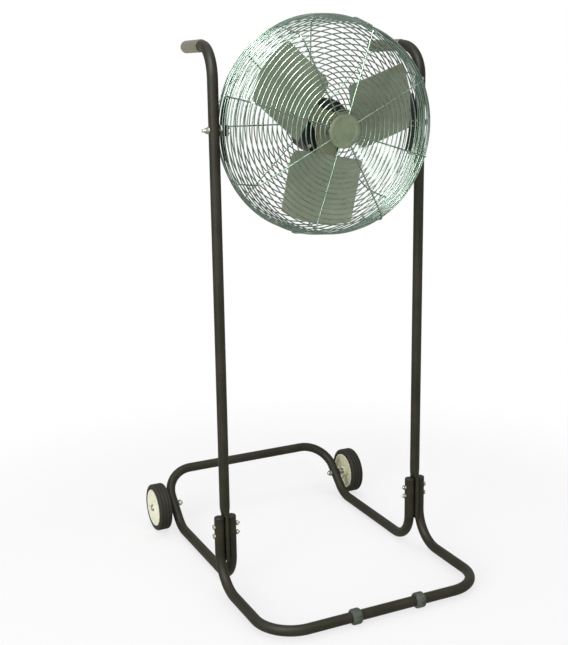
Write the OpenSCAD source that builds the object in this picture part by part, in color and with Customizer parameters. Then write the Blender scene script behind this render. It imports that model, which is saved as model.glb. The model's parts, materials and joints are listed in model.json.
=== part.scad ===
// Portable air circulator: a wire-guarded fan head that tilts between the two
// uprights of a wheeled tube stand. Millimetres, +Z up, the fan blows towards -Y.

/* [Tube] */
// Outside diameter of every stand tube
tube_od = 25.4; // [22:0.1:28]
// Wall of the tube
tube_wall = 2; // [1.2:0.1:3]
// Thickness over the flattened foot of each upright
flat_t = 5.6; // [4.5:0.1:9]
// Width of the flattened foot
flat_w = 36; // [30:1:44]
// Height over which the round tube turns flat
flat_blend = 42; // [25:1:60]

/* [Uprights and handles] */
// Height of the tilt pivot above the floor
pivot_z = 1133; // [1000:1:1180]
// Height of the handles' centre line
handle_z = 1321; // [1260:1:1400]
// Bend radius at the top of each upright
handle_bend_r = 75; // [50:1:100]
// Reach of the handle behind the upright
handle_reach = 206; // [170:1:260]
// Turn of the handles towards each other, in degrees
handle_toe = 5; // [0:0.5:8]
// Bare tube between the bend and the grip
grip_gap = 4; // [0:1:20]
// Wall of the grip
grip_wall = 2.2; // [1.5:0.1:5]

/* [Base loops] */
// Height of the tops of both base loops
base_top_z = 190; // [180:1:220]
// Reach of the front bar ahead of the uprights
front_reach = 302; // [260:1:380]
// Bend radius where the front loop turns to the floor
front_bend_r = 86; // [60:1:110]
// Corner radius of the front loop
front_corner_r = 92; // [60:1:140]
// Height of the rear loop's floor run
rear_run_z = 15; // [14.5:0.5:25]
// Bend radius where the rear loop turns to the floor
rear_bend_r = 71; // [50:1:90]
// Distance behind the uprights where the rear loop starts to climb
rear_knee_y = 366; // [320:1:420]
// Slope of the rear loop's climbing end, in degrees
rear_slope = 42; // [35:1:50]
// Bend radius of that knee
rear_knee_r = 75; // [50:1:100]
// Length of the climbing end up to the rear bar's centre line
rear_slope_len = 178; // [170:1:210]
// Corner radius of the rear loop
rear_corner_r = 80; // [60:1:90]

/* [Base joints] */
// Diameter of the bolts that clamp each upright between the loops
joint_bolt_d = 6.4; // [5:0.1:8]
// Height of the upper bolt
joint_bolt_z = 170; // [160:1:172]
// Distance between the two bolts
joint_bolt_gap = 24; // [18:1:28]
// How far the flattened foot reaches below the lower bolt
foot_drop = 66; // [14:1:68]

/* [Wheels] */
// Diameter of the wheels
wheel_d = 130; // [120:1:150]
// Width of the wheels
wheel_w = 36; // [30:1:44]
// Diameter of the plastic hub inside the tyre
hub_d = 102; // [85:1:105]
// Diameter of the axle bolts
axle_d = 9.5; // [8:0.1:13]
// Length of the spacer between the rear loop and the wheel
wheel_spacer = 14; // [8:1:24]
// Number of stiffening ribs on the hub's inner side
hub_ribs = 10; // [6:1:14]
// Number of tread grooves
tread_grooves = 3; // [1:1:5]

/* [Bumpers] */
// Outside diameter of the rubber rings on the front bar
bumper_d = 38; // [34:1:50]
// Width of the rubber rings
bumper_w = 24; // [16:1:34]
// Distance between the two rings
bumper_gap = 174; // [120:1:300]
// How far the pair sits to the right of the middle
bumper_shift = 11; // [0:1:20]

/* [Guard] */
// Radius of the guard's widest rings, at the wire's centre
rim_r = 257.5; // [255:0.5:275]
// Diameter of the ring wire
ring_wire = 2.8; // [2:0.1:3.2]
// Diameter of the spoke wire
spoke_wire = 3.4; // [3:0.1:4]
// Distance between neighbouring rings, measured along the guard
ring_pitch = 12.1; // [11:0.1:14]
// Distance between the rings of the straight band round the pivots
band_pitch = 12; // [12:0.5:14]
// Depth of the front guard's face ahead of the pivot
front_face = 109; // [100:1:125]
// Depth of the rear guard's face behind the pivot
rear_face = 68; // [68:1:90]
// Draft of the front guard's wall, in degrees
front_draft = 11.5; // [5:0.5:14]
// Draft of the rear guard's wall, in degrees
rear_draft = 17; // [5:0.5:20]
// Radius of the guard's shoulder
shoulder_r = 20; // [12:1:24]
// Number of spokes on each half
spokes = 8; // [6:2:8]
// Turn of the front spokes, in degrees
front_spoke_turn = 28; // [22:1:28]
// Radius of the badge plate
badge_r = 39.5; // [36:0.5:44]

/* [Head] */
// Tilt of the head as it stands, nose down, in degrees
rest_tilt = 3.5; // [0:0.5:10]
// Diameter of the pivot studs
stud_d = 8; // [6:0.1:8.4]
// Length of each curved pivot strap
strap_len = 146; // [120:1:146]
// Width of the strap
strap_w = 26; // [20:1:27]
// Thickness of the strap
strap_t = 2.5; // [1.5:0.1:4]

/* [Motor] */
// Radius of the motor shell
motor_r = 67; // [66:0.5:70]
// Length of the motor shell
shell_len = 54; // [50:1:58]
// Depth of the tapered bell behind the shell
rear_bell_depth = 23; // [22:1:30]
// Thickness of the motor's steel sheet
shell_t = 2; // [1.5:0.1:3]
// Diameter of the motor shaft
shaft_d = 12.7; // [10:0.1:14]
// Radius of the stator's bore
stator_bore_r = 34; // [32:0.5:36]
// Number of stator slots
slots = 12; // [8:1:16]

/* [Blades] */
// Radius of the blade tips
tip_r = 226.5; // [215:0.5:229]
// Number of blades
blades = 3; // [3:1:3]
// Width of each blade as seen from the front
blade_w = 166; // [140:1:168]
// Extra width of each blade on its leading side
blade_lead = 1; // [0:1:10]
// How much nearer the axis the leading side starts
root_slant = 3; // [0:1:16]
// Radius of the curve across each blade's tip
tip_curve_r = 200; // [140:1:220]
// Radius of the blades' inner edge
root_r = 63; // [58:1:80]
// Pitch of the blades, in degrees
pitch = 15; // [10:0.5:18]
// Hollow of the blade's front face
camber = 8; // [4:0.5:12]
// Thickness of the blade sheet
blade_t = 2; // [1.2:0.1:3]
// Turn of the first blade, in degrees
blade_turn = 19.5; // [0:0.5:119.5]

/* [Hidden] */

$fn = 64;
// Face to face gap between pieces that are clamped or welded together
seat = 0.05;
// Radial clearance of a bolt in its hole
bolt_play = 0.1;
// Radial clearance of a running fit
run_play = 0.04;
// Gap between two faces that turn past each other
turn_gap = 0.25;
// How far a cutting tool runs past the face that it opens
over = 1;
// Hairline left between two lengths of bar that meet at an angle, and the core that bridges it
seam_gap = 0.002;
seam_len = 2;
seam_step = 0.3;

tube_r = tube_od / 2;
bore_r = tube_r - tube_wall;
ring_r = ring_wire / 2;
spoke_r = spoke_wire / 2;

washer_t = 3.5;
pivot_washer_r = 12.5;
// The uprights stand just clear of the guard, by the pivot washers
upright_x = rim_r + ring_r + seat + washer_t + turn_gap + tube_r;
loop_gap = tube_r + flat_t / 2 + seat;
front_x = upright_x + loop_gap;
rear_x = upright_x - loop_gap;
front_run_z = bumper_d / 2;
foot_z = joint_bolt_z - joint_bolt_gap - foot_drop;
flat_top_z = base_top_z + 3;
// The origin lies under the middle of the whole, between the bumpers and the rear bar
rear_reach = rear_knee_y + rear_slope_len * cos(rear_slope) + tube_r;
upright_y = (front_reach + bumper_d / 2 - rear_reach) / 2;

grip_r = tube_r + grip_wall;
grip_len = handle_reach - handle_bend_r - grip_gap;
grip_end_t = 3;
grip_round = 4;
cap_dome = 5;
cap_plug = 12;
cap_wall = 2;

joint_head_w = 11;
joint_head_t = 4.2;
joint_nut_t = 6;
joint_thread = 4;

axle_slope_len = (wheel_d / 2 - rear_run_z) / sin(rear_slope);
axle_y = rear_knee_y + axle_slope_len * cos(rear_slope);
axle_z = wheel_d / 2;
wheel_in_x = rear_x + tube_r + seat + wheel_spacer + turn_gap;
axle_head_w = 14.3;
axle_flange_t = 1.5;
axle_head_t = 5;
axle_flange_r = 9.5;
axle_nut_t = 8;
axle_thread = 4;
// From the wheel's inner face in past the spacer, the tube and the nut
axle_tail = turn_gap + wheel_spacer + tube_od + 2 * seat + axle_nut_t + axle_thread;
hub_dish = 2;
hub_skin = 3;
hub_sleeve_r = 15;
hub_rim_t = 4;
hub_rib_t = 2.4;
tyre_round = 6;
groove_w = 2.4;
groove_deep = 2.2;

band_half = 1.5 * band_pitch;
spoke_inset = ring_r + spoke_r + seat;
ring_in_r = 34;
rear_in_r = 60;
front_spoke_in_r = 28;
spoke_knee_r = 10;
spoke_end_gap = 1;
hook_len = 4;
badge_t = 2;
badge_edge = 1.4;
badge_step = 1.2;
badge_border = 3;
badge_border_w = 7;
badge_y = -front_face - spoke_inset - spoke_r - seat;

strap_out_r = rim_r - ring_r - seat;
strap_in_r = strap_out_r - strap_t;
strap_half = strap_len / strap_out_r * 90 / PI;
plate_size = [6, 38, 25];
plate_wire_d = 3;
plate_wire_z = 6;
stud_nut_t = 6.6;
stud_nut_w = 13;
stud_end = 8;
outer_washer_t = 1.6;
outer_washer_r = 9;

mount_plate_r = 50;
mount_plate_t = 3;
spoke_lap = 22;
rear_spoke_in_r = mount_plate_r - spoke_lap;
mount_plate_y = rear_face - spoke_inset - spoke_r - mount_plate_t - seat;
mount_bolt_pcd_r = 36;
mount_bolt_d = 6;
mount_head_w = 10;
mount_head_t = 3.5;
bell_t = 4;
bell_rim = 12;
bell_slope = 4;
shell_rear_y = mount_plate_y - rear_bell_depth;
shell_front_y = shell_rear_y - shell_len;
bell_rear_y = mount_plate_y - seat;
front_boss_rise = 10;
front_boss_y = shell_front_y - bell_t - front_boss_rise;
// Room beyond the stator's stack at each end for the winding and the bushing
stack_room = 11;
stack_len = shell_len - 2 * stack_room;
bushing_r = 4.5;
bushing_y = shell_rear_y - bushing_r - 0.7;
bushing_drop = 3;
bushing_len = 8;
bushing_lip = 2.5;
bushing_wall = 1.5;
stack_mid_y = (shell_front_y + shell_rear_y) / 2;
through_bolt_r = motor_r - 7.5;
through_bolt_d = 5;
through_head_w = 8;
through_head_t = 3;
through_tail = 2;
bearing_od = 32;
bearing_w = 10;
boss_r = bearing_od / 2 + 4;
slot_in_r = stator_bore_r + 5;
slot_out_r = through_bolt_r - 6;
slot_w = 8;
slot_mouth = 2.4;
slot_play = 0.3;
winding_t = 7;
air_gap = 0.4;

blade_y = -54;
chord = blade_w / cos(pitch);
camber_r = chord * chord / (8 * camber) + camber / 2;
blade_corner = 18;
hub_r = 17;
spider_t = 3;
spider_disc_r = 40;
spider_arm_w = 46;
spider_arm_trail = 20;
spider_arm_len = 140;
spider_y = blade_y + camber + blade_t / 2 + spider_t / 2 + seat;
hub_front_y = -72;
shaft_front_y = hub_front_y - 2;
shaft_rear_y = bell_rear_y - bell_t - 4;
screw_r = 3;
screw_y = hub_front_y + 8;
rivet_d = 5;
rivet_head_t = 1.2;
rivet_rs = [82, 104, 126];

// Places the stand, whose own zero is on the floor between the uprights
module on_stand() {
    translate([0, upright_y, 0]) children();
}

// Places the head, whose own zero is the pivot: -Y is the way that the air leaves
module in_head() {
    translate([0, upright_y, pivot_z]) rotate([rest_tilt, 0, 0]) children();
}

// Turns a shape drawn along +Z so that it runs along +X
module along_x() {
    rotate([0, 90, 0]) children();
}

// Turns a shape drawn along +Z so that it runs along +Y
module along_y() {
    rotate([-90, 0, 0]) children();
}

// Draws on the left at -X and, mirrored, on the right
module both_sides() {
    children();
    mirror([1, 0, 0]) children();
}

module rod(r, len) {
    cylinder(r = r, h = len);
}

module hex(across, len) {
    cylinder(d = across / cos(30), h = len, $fn = 6);
}

module washer(r, hole_r, len) {
    difference() {
        cylinder(r = r, h = len);
        translate([0, 0, -over]) cylinder(r = hole_r, h = len + 2 * over);
    }
}

// A quarter or part bend of a round bar, about Z, starting on +X and turning towards +Y
module bend(r, radius, angle) {
    rotate_extrude(angle = angle, $fn = 96) translate([radius, 0]) circle(r = r);
}

// The core that joins two lengths of bar across a hairline, centred on it and along +Z
module seam(r) {
    translate([0, 0, -seam_len / 2]) rod(r, seam_len);
}

// A turned plug of radius r and height h whose upper edge is rounded by e
module round_plug(r, h, e) {
    rotate_extrude() {
        square([r - e, h]);
        square([r, h - e]);
        intersection() {
            translate([r - e, h - e]) circle(r = e);
            square([r, h]);
        }
    }
}

// Half of a base loop, on the right: straight down, round to the floor, out and across.
// The bar of radius r is drawn along the loop's centre line, with its top end longer by more.
module front_half(r, more) {
    drop_z = front_run_z + front_bend_r;
    corner_x = front_x - front_corner_r;
    translate([front_x, 0, drop_z]) rod(r, base_top_z - drop_z + more);
    translate([front_x, -front_bend_r, drop_z]) rotate([-90, 0, 90]) bend(r, front_bend_r, 90);
    translate([front_x, -front_reach + front_corner_r, front_run_z])
        along_y() rod(r, front_reach - front_corner_r - front_bend_r);
    translate([corner_x, -front_reach + front_corner_r, front_run_z])
        rotate([0, 0, -90]) bend(r, front_corner_r, 90);
    translate([0, -front_reach, front_run_z]) along_x() rod(r, corner_x);
}

module front_loop(r, more) {
    both_sides() front_half(r, more);
}

module rear_half(r, more, core_r) {
    drop_z = rear_run_z + rear_bend_r;
    knee_t = rear_knee_r * tan(rear_slope / 2);
    corner_x = rear_x - rear_corner_r;
    corner_y = rear_slope_len - rear_corner_r;
    translate([rear_x, 0, drop_z]) rod(r, base_top_z - drop_z + more);
    translate([rear_x, rear_bend_r, drop_z]) rotate([-90, 0, -90]) bend(r, rear_bend_r, 90);
    translate([rear_x, rear_bend_r, rear_run_z])
        along_y() rod(r, rear_knee_y - knee_t - rear_bend_r - seam_gap);
    translate([rear_x, rear_knee_y - knee_t, rear_run_z]) along_y() seam(core_r);
    translate([rear_x, rear_knee_y - knee_t, rear_run_z + rear_knee_r])
        rotate([0, 90, 0]) bend(r, rear_knee_r, rear_slope);
    translate([0, rear_knee_y, rear_run_z]) rotate([rear_slope, 0, 0]) {
        translate([rear_x, knee_t, 0]) along_y() seam(core_r);
        translate([rear_x, corner_y, 0])
            rotate([90, 0, 0]) rod(r, corner_y - knee_t - seam_gap);
        translate([corner_x, corner_y, 0]) bend(r, rear_corner_r, 90);
        translate([0, rear_slope_len, 0]) along_x() rod(r, corner_x);
    }
}

module rear_loop(r, more, core_r) {
    both_sides() rear_half(r, more, core_r);
}

// The two clamp bolt holes through everything at the foot of both uprights
module joint_holes() {
    for (k = [0, 1])
        translate([-front_x - tube_r - over, 0, joint_bolt_z - k * joint_bolt_gap])
            along_x() rod(joint_bolt_d / 2 + bolt_play, 2 * (front_x + tube_r + over));
}

module front_base_tube() {
    color([0.16, 0.15, 0.13]) on_stand() difference() {
        front_loop(tube_r, 0);
        front_loop(bore_r, over);
        joint_holes();
    }
}

module rear_base_tube() {
    color([0.16, 0.15, 0.13]) on_stand() difference() {
        rear_loop(tube_r, 0, tube_r - seam_step);
        rear_loop(bore_r, over, bore_r + seam_step);
        joint_holes();
        translate([-rear_x - tube_r - over, axle_y, axle_z])
            along_x() rod(axle_d / 2 + bolt_play, 2 * (rear_x + tube_r + over));
    }
}

// An upright's bar from low_z up, back and along the handle, turned about the upright's own
// line towards the other handle, with its far end longer by more
module upright_bar(side, r, core_r, low_z, more) {
    bend_z = handle_z - handle_bend_r;
    translate([0, 0, low_z]) rod(r, bend_z - low_z - seam_gap);
    translate([0, 0, bend_z]) seam(core_r);
    rotate([0, 0, side * handle_toe]) {
        translate([0, handle_bend_r, bend_z]) rotate([90, 0, -90]) bend(r, handle_bend_r, 90);
        translate([0, handle_bend_r, handle_z]) along_y() seam(core_r);
        translate([0, handle_bend_r + seam_gap, handle_z])
            along_y() rod(r, handle_reach - handle_bend_r - seam_gap + more);
    }
}

module upright(side) {
    round_z = flat_top_z + flat_blend;
    slice = 1;
    color([0.16, 0.15, 0.13]) on_stand() difference() {
        translate([side * upright_x, 0, 0]) difference() {
            union() {
                upright_bar(side, tube_r, tube_r - seam_step, round_z, 0);
                hull() {
                    translate([0, 0, round_z - slice]) cylinder(r = tube_r, h = slice, $fn = 32);
                    translate([-flat_t / 2, -flat_w / 2, flat_top_z]) cube([flat_t, flat_w, slice]);
                }
                translate([-flat_t / 2, -flat_w / 2, foot_z])
                    cube([flat_t, flat_w, flat_top_z - foot_z + slice / 2]);
            }
            upright_bar(side, bore_r, bore_r + seam_step, round_z - slice, over);
            translate([-tube_r - over, 0, pivot_z])
                along_x() rod(stud_d / 2 + run_play, tube_od + 2 * over);
        }
        joint_holes();
    }
}

module left_upright() { upright(-1); }

module right_upright() { upright(1); }

module grip(side) {
    color([0.38, 0.36, 0.26]) on_stand() translate([side * upright_x, 0, handle_z])
        rotate([0, 0, side * handle_toe]) translate([0, handle_reach - grip_len, 0])
        along_y() difference() {
            round_plug(grip_r, grip_len + grip_end_t, grip_round);
            translate([0, 0, -over]) rod(tube_r + seat, grip_len + over + seat);
        }
}

module left_grip() { grip(-1); }

module right_grip() { grip(1); }

module tube_cap() {
    translate([0, 0, seat]) round_plug(tube_r, cap_dome, cap_dome - 0.5);
    translate([0, 0, -cap_plug]) difference() {
        rod(bore_r - seat, cap_plug + over);
        translate([0, 0, -over]) rod(bore_r - seat - cap_wall, cap_plug);
    }
}

module base_tube_caps() {
    color([0.07, 0.07, 0.07]) on_stand() for (x = [-front_x, -rear_x, rear_x, front_x])
        translate([x, 0, base_top_z]) tube_cap();
}

// One clamp bolt on the right, head outside, threaded end inside
module joint_bolt(z) {
    grip_end_x = rear_x - tube_r - joint_nut_t - joint_thread;
    translate([grip_end_x, 0, z])
        along_x() rod(joint_bolt_d / 2, front_x + tube_r + seat - grip_end_x);
    translate([front_x + tube_r + seat, 0, z]) along_x() hex(joint_head_w, joint_head_t);
}

module joint_bolts() {
    color([0.72, 0.72, 0.68]) on_stand() both_sides() for (k = [0, 1])
        joint_bolt(joint_bolt_z - k * joint_bolt_gap);
}

module joint_nuts() {
    color([0.72, 0.72, 0.68]) on_stand() both_sides() for (k = [0, 1])
        translate([rear_x - tube_r - seat - joint_nut_t, 0, joint_bolt_z - k * joint_bolt_gap])
            along_x() difference() {
                hex(joint_head_w, joint_nut_t);
                translate([0, 0, -over])
                    rod(joint_bolt_d / 2 + run_play, joint_nut_t + 2 * over);
            }
}

module bumper(x) {
    color([0.2, 0.21, 0.18]) on_stand() translate([x, -front_reach, front_run_z])
        difference() {
            both_sides() along_x() round_plug(bumper_d / 2, bumper_w / 2, 5);
            translate([-bumper_w, 0, 0]) along_x() rod(tube_r + seat, 2 * bumper_w);
        }
}

module left_bumper() { bumper(bumper_shift - bumper_gap / 2); }

module right_bumper() { bumper(bumper_shift + bumper_gap / 2); }

// Places a wheel's own zero at the middle of its inner face, its axle along +X, on the right
module at_wheel(side) {
    on_stand() mirror([side < 0 ? 1 : 0, 0, 0])
        translate([wheel_in_x, axle_y, axle_z]) along_x() children();
}

module axle_bolt(side) {
    color([0.66, 0.67, 0.66]) at_wheel(side) {
        translate([0, 0, -axle_tail]) rod(axle_d / 2, axle_tail + wheel_w + turn_gap + over);
        translate([0, 0, wheel_w + turn_gap]) {
            rod(axle_flange_r, axle_flange_t);
            hex(axle_head_w, axle_head_t);
        }
    }
}

module left_axle_bolt() { axle_bolt(-1); }

module right_axle_bolt() { axle_bolt(1); }

module axle_nuts() {
    color([0.66, 0.67, 0.66]) for (side = [-1, 1]) at_wheel(side)
        translate([0, 0, -axle_tail + axle_thread]) difference() {
            hex(axle_head_w, axle_nut_t);
            translate([0, 0, -over]) rod(axle_d / 2 + run_play, axle_nut_t + 2 * over);
        }
}

module axle_spacers() {
    color([0.1, 0.1, 0.1]) for (side = [-1, 1]) at_wheel(side)
        translate([0, 0, -wheel_spacer - turn_gap])
            washer(axle_d / 2 + 4, axle_d / 2 + bolt_play, wheel_spacer);
}

// The tyre's section: a rounded block outside the hub, with grooves round the tread
module tyre_section() {
    out_r = wheel_d / 2;
    difference() {
        translate([hub_d / 2 + seat, 0]) union() {
            square([out_r - hub_d / 2 - seat - tyre_round, wheel_w]);
            translate([0, tyre_round])
                square([out_r - hub_d / 2 - seat, wheel_w - 2 * tyre_round]);
            for (y = [tyre_round, wheel_w - tyre_round])
                translate([out_r - hub_d / 2 - seat - tyre_round, y]) circle(r = tyre_round);
        }
        for (k = [1:tread_grooves])
            translate([out_r - groove_deep, wheel_w * k / (tread_grooves + 1) - groove_w / 2])
                square([groove_deep + over, groove_w]);
    }
}

module tyre(side) {
    color([0.06, 0.06, 0.06]) at_wheel(side) rotate_extrude($fn = 96) tyre_section();
}

module left_tyre() { tyre(-1); }

module right_tyre() { tyre(1); }

module hub(side) {
    rim_in_r = hub_d / 2 - hub_rim_t;
    skin_z = wheel_w - hub_dish - hub_skin;
    color([0.86, 0.84, 0.74]) at_wheel(side) difference() {
        union() {
            washer(hub_d / 2, rim_in_r, wheel_w - 1);
            rod(hub_sleeve_r, wheel_w);
            translate([0, 0, skin_z]) rod(rim_in_r + over, hub_skin);
            for (k = [0:hub_ribs - 1]) rotate([0, 0, k * 360 / hub_ribs])
                translate([hub_sleeve_r - over, -hub_rib_t / 2, 3])
                    cube([rim_in_r - hub_sleeve_r + 2 * over, hub_rib_t, skin_z - 2]);
        }
        translate([0, 0, -over]) rod(axle_d / 2 + run_play, wheel_w + 2 * over);
    }
}

module left_hub() { hub(-1); }

module right_hub() { hub(1); }

// One pivot stud on the right: welded to the plate inside the strap, it runs out
// through the strap, the rings' gap, the washer, the upright and the nut
module pivot_stud() {
    stud_in_x = strap_in_r - seat - plate_size[0] / 2;
    stud_out_x = upright_x + tube_r + outer_washer_t + stud_nut_t + stud_end;
    translate([stud_in_x, 0, 0]) along_x() rod(stud_d / 2, stud_out_x - stud_in_x);
}

module pivot_studs() {
    color([0.25, 0.25, 0.24]) in_head() both_sides() pivot_stud();
}

module pivot_nuts() {
    color([0.85, 0.84, 0.78]) in_head() both_sides()
        translate([upright_x + tube_r + turn_gap + outer_washer_t + seat, 0, 0])
            along_x() difference() {
            hex(stud_nut_w, stud_nut_t);
            translate([0, 0, -over]) rod(stud_d / 2 + run_play, stud_nut_t + 2 * over);
        }
}

module pivot_outer_washers() {
    color([0.85, 0.84, 0.78]) in_head() both_sides()
        translate([upright_x + tube_r + turn_gap, 0, 0])
            along_x() washer(outer_washer_r, stud_d / 2 + bolt_play, outer_washer_t);
}

module pivot_inner_washers() {
    color([0.2, 0.2, 0.19]) in_head() both_sides()
        translate([upright_x - tube_r - turn_gap - washer_t, 0, 0])
            along_x() washer(pivot_washer_r, stud_d / 2 + bolt_play, washer_t);
}

module pivot_strap(side) {
    color([0.1, 0.1, 0.1]) in_head() difference() {
        mirror([side < 0 ? 1 : 0, 0, 0]) rotate([0, strap_half, 0]) rotate([90, 0, 0])
            rotate_extrude(angle = 2 * strap_half, $fn = 128)
                translate([strap_in_r, -strap_w / 2]) square([strap_t, strap_w]);
        translate([side * strap_in_r, 0, 0]) along_x() translate([0, 0, -2 * strap_t])
            rod(stud_d / 2 + bolt_play, 4 * strap_t);
    }
}

module left_pivot_strap() { pivot_strap(-1); }

module right_pivot_strap() { pivot_strap(1); }

// Flat plates behind the straps: the curve leaves their upper and lower ends clear
module pivot_plates() {
    rise = strap_in_r - sqrt(pow(strap_in_r, 2) - pow(plate_size[2] / 2, 2));
    color([0.1, 0.1, 0.1]) in_head() both_sides() difference() {
        translate([strap_in_r - rise - seat - plate_size[0], -plate_size[1] / 2, -plate_size[2] / 2])
            cube(plate_size);
        translate([strap_in_r - 2 * plate_size[0], 0, 0])
            along_x() rod(stud_d / 2 + run_play, 3 * plate_size[0]);
    }
}

module pivot_plate_wires() {
    rise = strap_in_r - sqrt(pow(strap_in_r, 2) - pow(plate_size[2] / 2, 2));
    wire_x = strap_in_r - rise - 2 * seat - plate_size[0] - plate_wire_d / 2;
    color([0.75, 0.76, 0.7]) in_head() both_sides() for (z = [-plate_wire_z, plate_wire_z])
        translate([wire_x, -plate_size[1] / 2, z]) along_y() rod(plate_wire_d / 2, plate_size[1]);
}

// A guard half's section starts at the edge of the band and runs down the wall,
// round the shoulder and in across the face, each point as [radius, depth]
function corner_r(depth, draft) = rim_r - depth * tan(draft);
function shoulder_t(draft) = shoulder_r * tan((90 - draft) / 2);
function wall_len(depth, draft) = depth / cos(draft) - shoulder_t(draft);
function turn_len(draft) = shoulder_r * (90 - draft) * PI / 180;
function face_r(depth, draft) = corner_r(depth, draft) - shoulder_t(draft);
function guard_point(s, depth, draft) =
    s < wall_len(depth, draft) ?
        [rim_r - s * sin(draft), s * cos(draft)] :
    s < wall_len(depth, draft) + turn_len(draft) ?
        let (a = draft + (s - wall_len(depth, draft)) / shoulder_r * 180 / PI)
        [face_r(depth, draft) + shoulder_r * cos(a), depth - shoulder_r + shoulder_r * sin(a)] :
        [face_r(depth, draft) - (s - wall_len(depth, draft) - turn_len(draft)), depth];
function wall_rings(depth, draft) =
    floor((wall_len(depth, draft) + turn_len(draft)) / ring_pitch);
function all_rings(depth, draft, in_r) =
    floor((wall_len(depth, draft) + turn_len(draft) + face_r(depth, draft) - in_r) / ring_pitch);

// One ring of wire about the fan's axis; depth is measured towards the face on that side
module ring(r, y) {
    translate([0, y, 0]) rotate([90, 0, 0])
        rotate_extrude($fn = 128) translate([r, 0]) circle(r = ring_r, $fn = 16);
}

module guard_rings(side, depth, draft, first, last) {
    for (k = [first:last]) {
        p = guard_point(k * ring_pitch, depth, draft);
        ring(p[0], side * (band_half + p[1]));
    }
}

// One spoke, drawn in the plane of +X, the radius, and +Z, the depth: from low on the band,
// along the wall, round the shoulder and in to in_r, set in from the rings' centres by inset.
// Where low lies past the knee between band and wall, the spoke starts on the wall
module spoke(depth, draft, in_r, low, inset) {
    core_r = spoke_r - seam_step;
    knee_t = spoke_knee_r * tan(draft / 2);
    knee_z = -inset * tan(draft / 2);
    wall = wall_len(depth, draft) + knee_z - knee_t;
    wall_z = knee_z + knee_t * cos(draft);
    start = max(0, (low - wall_z) / cos(draft));
    turn_x = face_r(depth, draft);
    if (start == 0) {
        translate([rim_r - inset, 0, low]) rod(spoke_r, knee_z - knee_t - low - seam_gap);
        translate([rim_r - inset, 0, knee_z - knee_t]) seam(core_r);
        translate([rim_r - inset - spoke_knee_r, 0, knee_z - knee_t])
            rotate([90, 0, 0]) bend(spoke_r, spoke_knee_r, draft);
    }
    translate([rim_r - inset - knee_t * sin(draft), 0, wall_z]) rotate([0, -draft, 0]) {
        if (start == 0) seam(core_r);
        translate([0, 0, start + seam_gap]) rod(spoke_r, wall - start - 2 * seam_gap);
        translate([0, 0, wall]) seam(core_r);
    }
    translate([turn_x, 0, depth - shoulder_r])
        rotate([90, 0, 0]) rotate([0, 0, draft]) bend(spoke_r, shoulder_r - inset, 90 - draft);
    translate([turn_x, 0, depth - inset]) along_x() seam(core_r);
    translate([in_r, 0, depth - inset]) along_x() rod(spoke_r, turn_x - in_r - seam_gap);
}

// The hook at the outer end of a front spoke, which grips the rear half's first ring
module spoke_hook() {
    translate([rim_r, 0, -band_pitch]) rotate([-90, 0, 0]) bend(spoke_r, spoke_inset, 90);
    translate([rim_r - hook_len, 0, -band_pitch - spoke_inset])
        along_x() rod(spoke_r, hook_len);
}

module front_guard_face() {
    depth = front_face - band_half;
    color([0.7, 0.73, 0.66]) in_head()
        guard_rings(-1, depth, front_draft, wall_rings(depth, front_draft) + 1,
            all_rings(depth, front_draft, ring_in_r - ring_pitch / 2));
}

module front_guard_wall() {
    depth = front_face - band_half;
    color([0.7, 0.73, 0.66]) in_head()
        guard_rings(-1, depth, front_draft, 0, wall_rings(depth, front_draft));
}

module front_guard_spokes() {
    color([0.7, 0.73, 0.66]) in_head() for (k = [0:spokes - 1])
        rotate([0, -front_spoke_turn - k * 360 / spokes, 0])
            translate([0, -band_half, 0]) rotate([90, 0, 0]) {
                spoke(front_face - band_half, front_draft, front_spoke_in_r,
                    -band_pitch, -spoke_inset);
                spoke_hook();
            }
}

module rear_guard_face() {
    depth = rear_face - band_half;
    color([0.7, 0.73, 0.66]) in_head()
        guard_rings(1, depth, rear_draft, wall_rings(depth, rear_draft) + 1,
            all_rings(depth, rear_draft, rear_in_r));
}

module rear_guard_wall() {
    depth = rear_face - band_half;
    color([0.7, 0.73, 0.66]) in_head()
        guard_rings(1, depth, rear_draft, 1, wall_rings(depth, rear_draft));
}

module rear_guard_band() {
    color([0.7, 0.73, 0.66]) in_head()
        for (k = [0:2]) ring(rim_r, band_half - k * band_pitch);
}

// The rear spokes cross the band inside its rings, but those at a strap stop short of its plate
module rear_guard_spokes() {
    plate_end_y = max(plate_size[1] / 2 + spoke_end_gap, band_half + 2 * spoke_end_gap);
    color([0.7, 0.73, 0.66]) in_head() for (k = [0:spokes - 1]) {
        turn = k * 360 / spokes;
        at_strap = abs(sin(turn)) < sin(strap_half + 2);
        end_y = at_strap ? plate_end_y : -band_pitch / 2 - ring_r;
        rotate([0, -turn, 0]) translate([0, band_half, 0]) rotate([-90, 0, 0])
            spoke(rear_face - band_half, rear_draft, rear_spoke_in_r,
                end_y - band_half, spoke_inset);
    }
}

// A plain round plate with a raised border, over the inner ends of the spokes
module guard_badge() {
    color([0.62, 0.64, 0.52]) in_head() translate([0, badge_y, 0]) rotate([90, 0, 0]) {
        round_plug(badge_r, badge_t, badge_edge);
        translate([0, 0, badge_t / 2])
            washer(badge_r - badge_border, badge_r - badge_border - badge_border_w,
                badge_t / 2 + badge_step);
    }
}

module at_mount_bolts() {
    for (k = [0:3]) rotate([0, -22.5 - k * 90, 0]) translate([mount_bolt_pcd_r, 0, 0]) children();
}

module motor_mount_plate() {
    color([0.1, 0.1, 0.1]) in_head() difference() {
        translate([0, mount_plate_y, 0]) along_y() rod(mount_plate_r, mount_plate_t);
        at_mount_bolts() translate([0, mount_plate_y - over, 0])
            along_y() rod(mount_bolt_d / 2 + bolt_play, mount_plate_t + 2 * over);
    }
}

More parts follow.
